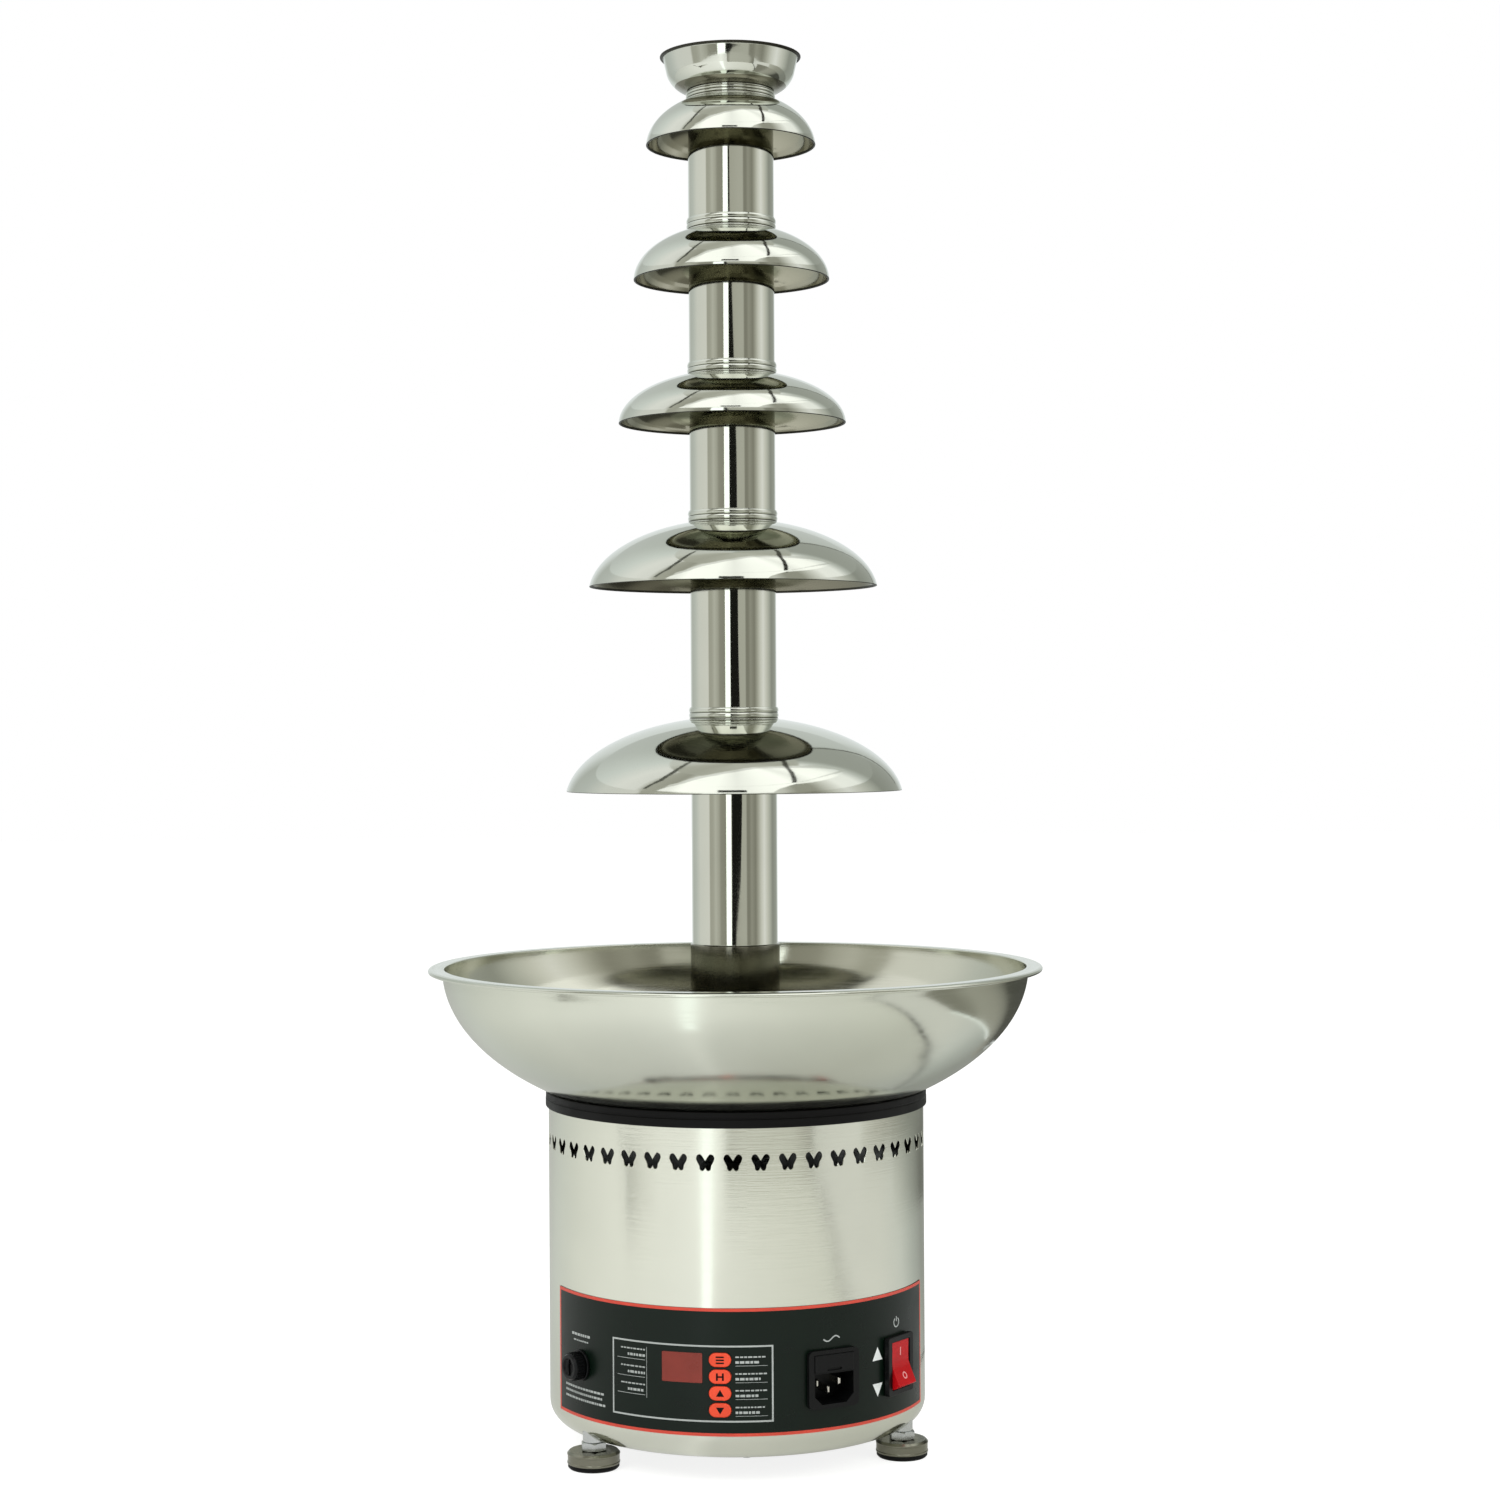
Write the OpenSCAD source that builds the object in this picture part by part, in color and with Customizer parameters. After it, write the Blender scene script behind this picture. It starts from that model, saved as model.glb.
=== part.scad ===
// Five-tier chocolate fountain: a heated bowl on a motor base, and a stacked tower round a screw.
// Origin on the floor under the tower's axis, +Z up, control panel towards -Y.

/* [Base] */
// Outer radius of the base drum
drum_r = 107; // [104:1:112]
// Height of the drum from its underside to its top edge
drum_h = 178.5; // [176:0.5:184]
// Sheet thickness of the drum
drum_wall = 1; // [0.8:0.1:1.2]
// Radius of the rounded bottom corner
corner_r = 12; // [10:1:14]
// Width of the turned-in bottom flange, with the rounded corner
bottom_flange_w = 23; // [21:1:25]
// Width of the turned-in top flange
top_flange_w = 11; // [10:1:15]
// Thickness of the bottom plate
bottom_plate_t = 1.2; // [1:0.1:2]
// Height of the gearbox's mounting plate above the drum's underside
motor_plate_up = 143.5; // [140:0.5:146]
// Thickness of the gearbox's mounting plate
motor_plate_t = 2; // [1.5:0.5:3]

/* [Vents] */
// Number of butterfly vents round the drum
vent_count = 45; // [36:1:48]
// Height of the vents' middle above the drum's underside
vent_up = 159.5; // [158:0.5:162]
// Span of one vent across the wings
vent_w = 9.8; // [8:0.2:10.4]

/* [Feet] */
// Height of the gap between the floor and the drum
foot_gap = 14.5; // [13:0.5:18]
// Distance of the feet's axes inside the drum's outer face
foot_inset = 7.5; // [7:0.5:8]
// Turn of the foot pattern from the panel's middle
foot_turn = 4; // [0:1:10]
// Radius of the foot's metal cup
foot_r = 14.6; // [12:0.2:16]
// Height of the metal cup
foot_cup_h = 7; // [6:0.5:8]
// Height of the rubber pad below the cup
pad_h = 2.7; // [2:0.1:4]
// Radius of the levelling stud
stud_r = 3.95; // [3.45:0.1:4.45]
// Length of the levelling stud above the cup
stud_len = 22; // [20:1:26]

/* [Bowl] */
// Outer radius of the bowl's lip
bowl_r = 175; // [172:1:180]
// Width of the lip
lip_w = 8; // [6:1:10]
// Depth from the rim to the floor, inside
bowl_depth = 72.3; // [70:0.5:76]
// Curve of the wall: half height of the ellipse that it follows
bowl_curve = 91; // [88:1:94]
// Sheet thickness of the bowl
bowl_wall = 1.2; // [1:0.1:1.5]
// Distance that the rubber gasket under the bowl stands proud of the drum
gasket_proud = 1.7; // [1.2:0.1:3]
// Height of the gasket under the bowl's floor
gasket_h = 5; // [4.8:0.1:6]

/* [Drive] */
// Radius of the drive shaft
shaft_r = 6; // [5:0.5:7]
// Radius of the gearbox's output shaft
motor_shaft_r = 5; // [4:0.5:6]
// Radial running clearance of the shafts and studs
running_gap = 0.06; // [0.03:0.01:0.1]
// Radius of the gearbox
gearbox_r = 31; // [28:1:34]
// Height of the gearbox
gearbox_h = 36; // [30:1:40]
// Radius of the motor
motor_r = 29; // [26:1:32]
// Height of the motor
motor_h = 70; // [60:1:76]
// Radius over the auger's flight
auger_r = 21.5; // [20:0.1:21.7]
// Radius of the auger's core
core_r = 8; // [7.6:0.1:10]
// Rise of the flight in one turn
auger_pitch = 42; // [36:1:60]
// Thickness of the flight
flight_t = 2; // [1.5:0.1:3]

/* [Tower] */
// Outer radius of the tower's tubes
tube_r = 24.5; // [24.2:0.1:25]
// Wall of the tubes
tube_wall = 1.2; // [1:0.1:1.4]
// Outer radius of the wider sleeve at the tower's foot
foot_sleeve_r = 25.5; // [25.2:0.1:27]
// Height of the wider sleeve
foot_sleeve_h = 84.8; // [70:1:110]
// Gap between a plugged tube and the spigot or collar that holds it
plug_gap = 0.3; // [0.25:0.05:0.35]
// Height of the spigot that plugs into the tube above
spigot_h = 14; // [8:1:18]
// Sheet thickness of the bells and the crown
bell_wall = 1; // [0.8:0.1:1.2]
// Height of the collar round the foot of the tube above a bell
collar_h = 6.7; // [4:0.1:8]
// Length of the first tube, from the bowl's floor to its bell's top
tube_1_len = 212.8; // [190:1:240]
// Length of the second tube
tube_2_len = 112.3; // [100:1:130]
// Length of the third tube
tube_3_len = 84.6; // [76:1:100]
// Length of the fourth tube
tube_4_len = 82.4; // [76:1:100]
// Length of the fifth tube
tube_5_len = 74.5; // [66:1:90]

/* [Bells] */
// Rim radius of the first bell
bell_1_r = 96; // [90:1:104]
// Rim radius of the second bell
bell_2_r = 82.4; // [78:1:90]
// Rim radius of the third bell
bell_3_r = 65; // [60:1:72]
// Rim radius of the fourth bell
bell_4_r = 56; // [52:1:62]
// Rim radius of the fifth bell
bell_5_r = 48.5; // [44:1:54]
// Half height of the ellipse that the first bell follows
bell_1_rise = 48.6; // [44:1:54]
// Half height of the second bell's ellipse
bell_2_rise = 43.2; // [38:1:48]
// Half height of the third bell's ellipse
bell_3_rise = 30.4; // [27:1:36]
// Half height of the fourth bell's ellipse
bell_4_rise = 32; // [28:1:37]
// Half height of the fifth bell's ellipse
bell_5_rise = 31.6; // [28:1:36]
// Distance of the first bell's rim above its ellipse's middle
bell_1_sink = 6; // [2:1:9]
// Distance of the second bell's rim above its ellipse's middle
bell_2_sink = 4.7; // [1:1:8]
// Distance of the third bell's rim above its ellipse's middle
bell_3_sink = 0.3; // [0:0.1:3]
// Distance of the fourth bell's rim above its ellipse's middle
bell_4_sink = 0.5; // [0:0.1:3]
// Distance of the fifth bell's rim above its ellipse's middle
bell_5_sink = 1.5; // [0:0.1:3]

/* [Crown] */
// Rim radius of the crown
crown_r = 40.3; // [38:0.1:46]
// Height of the crown above the fifth tube's joint
crown_h = 25.2; // [23:0.1:30]
// Radius of the curve from the crown's floor to its wall
crown_curve_r = 15; // [12:0.5:16]
// Height of the crown's neck
neck_h = 5.2; // [4.8:0.1:7]

/* [Control panel] */
// Thickness of the printed film
film_t = 0.4; // [0.2:0.1:0.6]
// Half angle that the film spans
film_half_angle = 69.65; // [68:0.5:72]
// Height of the film's lower edge above the drum's underside
film_up = 13.9; // [12.5:0.5:16]
// Height of the film
film_h = 68.4; // [66:0.5:72]
// Angle of the display's middle
display_angle = -19.15; // [-21:0.5:-17]
// Width of the display window
display_w = 22.6; // [18:0.2:24]
// Height of the display window
display_h = 16; // [12:0.5:18]
// Height of the display's middle above the drum's underside
display_up = 50.25; // [46:0.25:53]
// Angle of the keys' column
key_angle = -8; // [-9:0.5:-6]
// Width of one key
key_w = 12; // [10:0.2:12.6]
// Height of one key
key_h = 7.5; // [6:0.1:7.7]
// Distance between two keys
key_pitch = 8.95; // [8.7:0.05:10]
// Height of the lowest key above the drum's underside
key_up = 28; // [26:0.5:30]
// Distance that a key stands proud of the film
key_proud = 0.8; // [0.4:0.1:1.2]

/* [Inlet, switch and fuse] */
// Angle of the power inlet
inlet_angle = 25.2; // [23:0.5:27]
// Width of the inlet's flange
inlet_w = 31; // [30:0.5:34]
// Height of the inlet's flange
inlet_h = 31.3; // [30:0.5:34]
// Angle of the rocker switch
switch_angle = 51.5; // [50:0.5:53]
// Width of the switch's flange
switch_w = 25; // [24:0.5:27]
// Height of the switch's flange
switch_h = 32; // [31.6:0.2:34]
// Radius from the rocker's pivot to its ends
rocker_r = 13.2; // [12:0.1:13.3]
// Angle that the rocker is tilted either way
rocker_tilt = 12; // [8:1:14]
// Height of the inlet's and the switch's middle above the drum's underside
socket_up = 42.3; // [41:0.1:44]
// Angle of the fuse holder
fuse_angle = -56; // [-58:0.5:-54]
// Radius of the fuse holder's cap
fuse_cap_r = 7.5; // [7:0.1:8]
// Length of the fuse holder's cap
fuse_cap_len = 6.7; // [5:0.1:9]

/* [Hidden] */

$fn = 96;
cut = 1;               // how far a cutter runs past the face that it cuts
seat_gap = 0.3;        // free gap round a piece that moves
close_gap = 0.1;       // gap round a piece that is clamped or glued
steel = "#c8ccc4";
black_plastic = "#17181a";

// Radii of the base, from the drum's outer face inwards
top_flange_r = drum_r - top_flange_w;
bottom_flange_r = drum_r - bottom_flange_w;
foot_circle_r = drum_r - foot_inset;
gasket_r = drum_r + gasket_proud;

// Levels of the base, from the floor up
drum_z = foot_gap;
drum_top = drum_z + drum_h;
plate_z = drum_z + drum_wall;
plate_top = plate_z + bottom_plate_t;
inner_r = drum_r - drum_wall;
motor_plate_z = drum_z + motor_plate_up;
bush_r = 6;
bush_h = 19.5;
bottom_plate_r = foot_circle_r - bush_r - 1;
screw_circle_r = (bottom_flange_r + bottom_plate_r) / 2;
nut_h = 4.7;
nut_r = 7.5;
cup_top = pad_h + foot_cup_h;
pad_plug_r = foot_r - 2.6;
pad_plug_h = 2.3;

// Bowl, its hub and the heater under it
bowl_under = drum_top + gasket_h;
bowl_floor = bowl_under + bowl_wall;
rim_z = bowl_floor + bowl_depth;
wall_r = bowl_r - lip_w;
hub_flange_r = tube_r - tube_wall - 1.3;
hub_flange_h = 3;
hub_barrel_r = 15.8;
hub_bore_r = 11;
support_t = 1.2;
support_z = drum_top - drum_wall - support_t;
hub_nut_h = 4.8;
hub_foot = support_z - hub_nut_h - 2;
insulation_h = 2;
heater_in_r = 42;
heater_out_r = top_flange_r - 10;
probe_circle_r = (heater_out_r + top_flange_r) / 2 + 0.5;

// Shafts and the auger
gearbox_z = motor_plate_z - gearbox_h;
motor_z = gearbox_z - motor_h;
coupling_r = 11;
coupling_top = hub_foot - 1;
coupling_z = motor_plate_z + motor_plate_t + 3;
coupling_mid = (coupling_z + coupling_top) / 2;
core_foot = bowl_floor + hub_flange_h + 4;
shaft_top = core_foot + 22;
pin_z = core_foot + 6;
pin_r = 2;
pin_half = 10;
hub_lug_r = tube_r + 0.4;

// Tower: each joint is where a tube ends and the next one plugs on
tube_len = [tube_1_len, tube_2_len, tube_3_len, tube_4_len, tube_5_len];
bell_r = [bell_1_r, bell_2_r, bell_3_r, bell_4_r, bell_5_r];
bell_rise = [bell_1_rise, bell_2_rise, bell_3_rise, bell_4_rise, bell_5_rise];
bell_sink = [bell_1_sink, bell_2_sink, bell_3_sink, bell_4_sink, bell_5_sink];
function joint_z(i) = i == 0 ? bowl_floor : joint_z(i - 1) + tube_len[i - 1];
bore_r = tube_r - tube_wall;
spigot_r = bore_r - plug_gap;
spigot_bore_r = auger_r + 0.5;
collar_in_r = tube_r + plug_gap;
collar_out_r = collar_in_r + 0.8;
auger_top = joint_z(5) + neck_h + 4;

// Control panel and what sits in it
glue_t = 0.05;
panel_r = drum_r + glue_t + film_t;
board_angle = -17.35;
board_front = drum_r - 15;
board_w = 84;
board_h = 48;
board_t = 1.6;
board_mid = drum_z + 42.5;
socket_z = drum_z + socket_up;
display_z = drum_z + display_up;
stem_r = 2;
flange_back = panel_r + close_gap;
socket_front = flange_back + 2.5;
inlet_body_w = 27.4;
inlet_body_h = 28.4;
inlet_back = drum_r - 19;
recess_w = 24;
recess_h = 16.5;
recess_depth = 16;
recess_mid = socket_z - 5.2;
drawer_w = 24;
drawer_h = 9.4;
drawer_mid = socket_z + 8.5;
drawer_back = drum_r - 14;
rocker_pivot = drum_r - 0.2;
rocker_w = 17.4;
rocker_end_angle = 26;
switch_body_w = 21;
switch_body_h = 2 * (rocker_r + 1.2);
switch_back = drum_r - 17;
trunnion_r = 1.5;
fuse_z = drum_z + 42.9;
holder_r = 6;
holder_back = drum_r - 29;
fuse_r = 2.5;
fuse_len = 20;

// Places its children on the panel: x sideways, y up, z outwards
module at_panel(angle, z, r = 0) {
    rotate([0, 0, angle]) translate([0, -r, z]) rotate([90, 0, 0]) children();
}

// A point of the panel's frame in the part's own frame
function panel_point(angle, side, r, z) = [
    side * cos(angle) + r * sin(angle),
    side * sin(angle) - r * cos(angle),
    z];

module tube(outer_r, inner_r, h) {
    difference() {
        cylinder(r = outer_r, h = h);
        translate([0, 0, -cut]) cylinder(r = inner_r, h = h + 2 * cut);
    }
}

module centred_box(w, h, depth) {
    translate([-w / 2, -h / 2, 0]) cube([w, h, depth]);
}

// A key's outline, with round ends
module oval(w, h, depth) {
    side = (w - h) / 2;
    linear_extrude(depth) {
        square([2 * side, h], center = true);
        for (x = [-side, side]) translate([x, 0]) circle(r = h / 2);
    }
}

module hexagon(r, h) {
    cylinder(r = r, h = h, $fn = 6);
}

// Angles of the three feet round the axis, from the panel's middle
function foot_angle(i) = foot_turn - 60 + 120 * i;

module at_feet() {
    for (i = [0:2]) rotate([0, 0, foot_angle(i)]) translate([0, -foot_circle_r, 0]) children();
}

// Base drum: rolled wall, rounded bottom corner, flanges turned in at both ends
module drum_section() {
    mid = [drum_r - corner_r, drum_z + corner_r];
    translate([inner_r, mid[1]]) square([drum_wall, drum_top - mid[1]]);
    translate([top_flange_r, drum_top - drum_wall]) square([drum_r - top_flange_r, drum_wall]);
    translate([bottom_flange_r, drum_z]) square([mid[0] - bottom_flange_r, drum_wall]);
    intersection() {
        translate([mid[0], drum_z]) square([corner_r, corner_r]);
        difference() {
            translate(mid) circle(r = corner_r);
            translate(mid) circle(r = corner_r - drum_wall);
        }
    }
}

// Butterfly outline: reach from its middle at angles from its foot (-90) to its head (90)
wing_outline = [[-90, 0.42], [-72, 0.8], [-50, 0.86], [-20, 0.68], [8, 0.84], [28, 1.13], [44, 1.24],
    [62, 1.08], [90, 0.22]];

module butterfly(depth) {
    last = len(wing_outline) - 1;
    reach = vent_w / 2;
    right = [for (p = wing_outline) reach * p[1] * [cos(p[0]), sin(p[0])]];
    left = [for (i = [last - 1:-1:1]) [-right[i][0], right[i][1]]];
    linear_extrude(depth) polygon(concat(right, left));
}

module panel_cuts(depth_r) {
    gap = close_gap;
    span = 12;
    at_panel(display_angle, display_z, depth_r)
        centred_box(display_w + 2 * gap, display_h + 2 * gap, span);
    for (i = [0:3]) at_panel(key_angle, key_z(i), depth_r)
        oval(key_w + 2 * seat_gap, key_h + 2 * seat_gap, span);
    at_panel(inlet_angle, socket_z, depth_r)
        centred_box(inlet_body_w + 2 * gap, inlet_body_h + 2 * gap, span);
    at_panel(switch_angle, socket_z, depth_r)
        centred_box(switch_body_w + 2 * gap, switch_body_h + 2 * gap, span);
    at_panel(fuse_angle, fuse_z, depth_r) cylinder(r = holder_r + gap, h = span);
}

module base_shell() {
    color(steel) difference() {
        rotate_extrude() drum_section();
        for (i = [0:vent_count - 1])
            at_panel((i + 0.5) * 360 / vent_count, drum_z + vent_up, inner_r - 2) butterfly(5);
        panel_cuts(inner_r - 4);
        at_feet() translate([0, 0, drum_z - cut]) cylinder(r = bush_r + close_gap, h = bush_h);
        at_screws() translate([0, 0, drum_z - cut])
            cylinder(r = screw_r + close_gap, h = drum_wall + 2 * cut);
    }
}

screw_r = 2;
screw_head_r = 3.6;
screw_head_h = 2.2;
screw_len = 7;

module at_screws() {
    for (i = [0:5]) rotate([0, 0, 30 + 60 * i]) translate([screw_circle_r, 0, 0]) children();
}

gearbox_screw_circle_r = gearbox_r - 7;

module at_gearbox_screws() {
    for (i = [0:3]) rotate([0, 0, 45 + 90 * i]) translate([gearbox_screw_circle_r, 0, 0]) children();
}

module bottom_plate() {
    color(steel) difference() {
        translate([0, 0, plate_z]) cylinder(r = bottom_plate_r, h = bottom_plate_t);
        at_screws() translate([0, 0, plate_z - cut])
            cylinder(r = screw_r + close_gap, h = bottom_plate_t + 2 * cut);
        for (i = [-4:4]) translate([9 * i - 2, -30, plate_z - cut])
            cube([4, 50, bottom_plate_t + 2 * cut]);
    }
}

module pan_screw(len) {
    translate([0, 0, -screw_head_h]) cylinder(r = screw_head_r, h = screw_head_h);
    cylinder(r = screw_r, h = len);
}

module chassis_screws() {
    color("silver") {
        at_screws() translate([0, 0, drum_z]) pan_screw(screw_len);
        at_gearbox_screws() translate([0, 0, motor_plate_z + motor_plate_t])
            mirror([0, 0, 1]) pan_screw(screw_len + 3);
    }
}

module foot_bushes() {
    color("silver") at_feet() translate([0, 0, drum_z]) tube(bush_r, stud_r + running_gap, bush_h);
}

module foot_locknuts() {
    color("silver") at_feet() translate([0, 0, drum_z - nut_h]) difference() {
        hexagon(nut_r, nut_h);
        translate([0, 0, -cut]) cylinder(r = stud_r + running_gap, h = nut_h + 2 * cut);
    }
}

module foot(i) {
    color("silver") rotate([0, 0, foot_angle(i)]) translate([0, -foot_circle_r, 0]) {
        difference() {
            rotate_extrude() polygon([
                [0, pad_h], [foot_r, pad_h], [foot_r, cup_top - 1.2], [foot_r - 1.2, cup_top],
                [0, cup_top]]);
            translate([0, 0, pad_h - cut])
                cylinder(r = pad_plug_r + close_gap, h = pad_plug_h + close_gap + cut);
        }
        translate([0, 0, cup_top]) cylinder(r = stud_r, h = stud_len);
    }
}

module foot_pad(i) {
    color("#1b1b1b") rotate([0, 0, foot_angle(i)]) translate([0, -foot_circle_r, 0]) {
        cylinder(r = foot_r - 0.4, h = pad_h);
        cylinder(r = pad_plug_r, h = pad_h + pad_plug_h);
    }
}

module motor_plate() {
    flange_h = 10;
    plate_r = inner_r - close_gap;
    color(steel) difference() {
        union() {
            translate([0, 0, motor_plate_z]) cylinder(r = plate_r, h = motor_plate_t);
            translate([0, 0, motor_plate_z - flange_h]) tube(plate_r, plate_r - 1.5, flange_h + cut);
        }
        translate([0, 0, motor_plate_z - cut]) {
            cylinder(r = coupling_r + 2, h = motor_plate_t + 2 * cut);
            at_gearbox_screws() cylinder(r = screw_r + close_gap, h = motor_plate_t + 2 * cut);
            for (a = [80, 200, 320]) rotate([0, 0, a]) translate([70, 0, 0])
                cylinder(r = 12, h = motor_plate_t + 2 * cut);
        }
    }
}

module support_plate() {
    color(steel) difference() {
        translate([0, 0, support_z]) cylinder(r = inner_r - 3, h = support_t);
        translate([0, 0, support_z - cut]) {
            cylinder(r = hub_barrel_r + close_gap, h = support_t + 2 * cut);
            rotate([0, 0, lead_angle]) translate([0, -probe_circle_r, 0])
                cylinder(r = 4, h = support_t + 2 * cut);
        }
    }
}

// Height of the bowl's outer surface at a radius
function bowl_out_z(r) = rim_z - bowl_curve * sqrt(1 - pow(r / wall_r, 2));

module bowl_gasket() {
    lip = [for (r = [gasket_r - 1:-1.2:top_flange_r + 6]) [r, bowl_out_z(r) - 0.25]];
    color("#1b1b1b") rotate_extrude() polygon(concat(
        [[top_flange_r + 1, drum_top], [gasket_r, drum_top], [gasket_r, bowl_out_z(gasket_r - 1) - 0.6]],
        lip, [[top_flange_r + 1, min(bowl_under, bowl_out_z(top_flange_r + 1) - 0.25)]]));
}

// The bowl's wall follows an ellipse from its flat floor to the lip
module bowl() {
    steps = 16;
    floor_in = bowl_floor;
    in_r = wall_r - bowl_wall;
    in_curve = bowl_curve - bowl_wall;
    out_end = asin((rim_z - bowl_under) / bowl_curve);
    in_end = asin((rim_z - floor_in) / in_curve);
    outer = [for (i = [0:steps]) let (u = out_end * (1 - i / steps))
        [wall_r * cos(u), rim_z - bowl_curve * sin(u)]];
    inner = [for (i = [0:steps]) let (u = in_end * i / steps)
        [in_r * cos(u), rim_z - in_curve * sin(u)]];
    lip = [[wall_r, rim_z - bowl_wall], [bowl_r - 2.4, rim_z - bowl_wall],
        [bowl_r - 0.8, rim_z - 2.6], [bowl_r, rim_z - 1.8], [bowl_r - 1.6, rim_z]];
    wall = [for (p = outer) if (p[1] < rim_z - bowl_wall) p];
    color(steel) rotate_extrude() polygon(concat(
        [[hub_barrel_r + close_gap, bowl_under]], wall, lip, inner,
        [[hub_barrel_r + close_gap, floor_in]]));
}

// Hub: a flanged sleeve through the bowl's floor, with lugs that stop the tower from turning
module bowl_hub() {
    lug_w = 6;
    color("silver") difference() {
        union() {
            translate([0, 0, hub_foot]) cylinder(r = hub_barrel_r, h = bowl_floor - hub_foot + cut);
            translate([0, 0, bowl_floor]) cylinder(r = hub_flange_r, h = hub_flange_h);
            for (i = [0:2]) rotate([0, 0, 120 * i]) translate([0, -lug_w / 2, bowl_floor])
                cube([hub_lug_r, lug_w, hub_flange_h]);
        }
        translate([0, 0, hub_foot - cut])
            cylinder(r = hub_bore_r, h = bowl_floor + hub_flange_h - hub_foot + 2 * cut);
    }
}

module hub_nut() {
    color("silver") translate([0, 0, support_z - hub_nut_h]) difference() {
        hexagon(hub_barrel_r + 7, hub_nut_h);
        translate([0, 0, -cut]) cylinder(r = hub_barrel_r + close_gap, h = hub_nut_h + 2 * cut);
    }
}

module shaft_bush() {
    color("peru") translate([0, 0, hub_foot])
        tube(hub_bore_r - 0.02, shaft_r + running_gap, bowl_under - hub_foot - 2);
}

module shaft_seal() {
    color("#1b1b1b") translate([0, 0, bowl_under - 1.7])
        tube(hub_bore_r - 0.02, shaft_r + running_gap, 5.5);
}

module heater_insulation() {
    color("khaki") translate([0, 0, drum_top - drum_wall]) tube(heater_out_r, heater_in_r, insulation_h);
}

module heater_ring() {
    base = drum_top - drum_wall + insulation_h;
    color("dimgray") translate([0, 0, base]) tube(heater_out_r, heater_in_r, bowl_under - base);
}

// Both probes lie against the bowl's floor, between the heater and the drum's flange
sensor_angle = 90;
cutout_angle = 150;
lead_angle = 170;

module temperature_sensor() {
    size = 7;
    color("silver") rotate([0, 0, sensor_angle])
        translate([-size / 2, -probe_circle_r - size / 2, drum_top - drum_wall])
        cube([size, size, bowl_under - drum_top + drum_wall]);
}

module thermal_cutout() {
    color("silver") rotate([0, 0, cutout_angle])
        translate([0, -probe_circle_r, drum_top - drum_wall])
        cylinder(r = 4, h = bowl_under - drum_top + drum_wall);
}

module gearbox() {
    bearing_depth = 12;
    color("slategray") difference() {
        translate([0, 0, gearbox_z]) cylinder(r = gearbox_r, h = gearbox_h);
        translate([0, 0, motor_plate_z - bearing_depth])
            cylinder(r = motor_shaft_r + running_gap, h = bearing_depth + cut);
        at_gearbox_screws() translate([0, 0, motor_plate_z - screw_len - 2])
            cylinder(r = screw_r + close_gap, h = screw_len + 2 + cut);
    }
}

module motor() {
    cap_h = 8;
    color("dimgray") translate([0, 0, motor_z]) {
        cylinder(r = motor_r, h = motor_h);
        for (z = [0, motor_h - cap_h]) translate([0, 0, z]) cylinder(r = motor_r + 1.5, h = cap_h);
    }
}

module gearbox_shaft() {
    color("silver") translate([0, 0, motor_plate_z - 11])
        cylinder(r = motor_shaft_r, h = coupling_mid - 1 - motor_plate_z + 11);
}

module shaft_coupling() {
    fit = 0.02;
    color("silver") difference() {
        translate([0, 0, coupling_z]) cylinder(r = coupling_r, h = coupling_top - coupling_z);
        translate([0, 0, coupling_z - cut])
            cylinder(r = motor_shaft_r + fit, h = coupling_mid - coupling_z + cut);
        translate([0, 0, coupling_mid]) cylinder(r = shaft_r + fit, h = coupling_top - coupling_mid + cut);
    }
}

// Drive shaft with the cross pin that turns the auger
module drive_shaft() {
    color("silver") {
        translate([0, 0, coupling_mid + 1]) cylinder(r = shaft_r, h = shaft_top - coupling_mid - 1);
        translate([-pin_half, 0, pin_z]) rotate([0, 90, 0]) cylinder(r = pin_r, h = 2 * pin_half);
    }
}

core_boss_r = 12;
core_boss_h = 14;

module auger_core() {
    slot_top = pin_z + pin_r + seat_gap;
    color("whitesmoke") difference() {
        union() {
            translate([0, 0, core_foot]) cylinder(r = core_boss_r, h = core_boss_h);
            translate([0, 0, core_foot]) cylinder(r = core_r, h = auger_top - core_foot);
        }
        translate([0, 0, core_foot - cut])
            cylinder(r = shaft_r + seat_gap, h = shaft_top - core_foot + cut + seat_gap);
        translate([-core_boss_r - cut, -pin_r - seat_gap, core_foot - cut])
            cube([2 * (core_boss_r + cut), 2 * (pin_r + seat_gap), slot_top - core_foot + cut]);
    }
}

// Flight: a helicoid ribbon, thin enough to be swept as one skin
module auger_flight() {
    start = core_foot + core_boss_h + 0.5;
    turns = (auger_top - 2 - start) / auger_pitch;
    steps_per_turn = 20;
    steps = round(turns * steps_per_turn);
    root_r = core_r - 0.3;
    section = [[root_r, 0], [auger_r, 0], [auger_r, flight_t], [root_r, flight_t]];
    rings = [for (i = [0:steps])
        let (a = 360 * turns * i / steps, z = start + (auger_top - 2 - start) * i / steps)
        each [for (p = section) [p[0] * cos(a), p[0] * sin(a), z + p[1]]]];
    sides = [for (i = [0:steps - 1], k = [0:3]) let (b = 4 * i, n = (k + 1) % 4)
        each [[b + k, b + 4 + k, b + n], [b + n, b + 4 + k, b + 4 + n]]];
    last = 4 * steps;
    ends = [[0, 1, 2], [0, 2, 3], [last + 2, last + 1, last], [last + 3, last + 2, last]];
    color("whitesmoke") polyhedron(points = rings, faces = concat(sides, ends));
}

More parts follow.
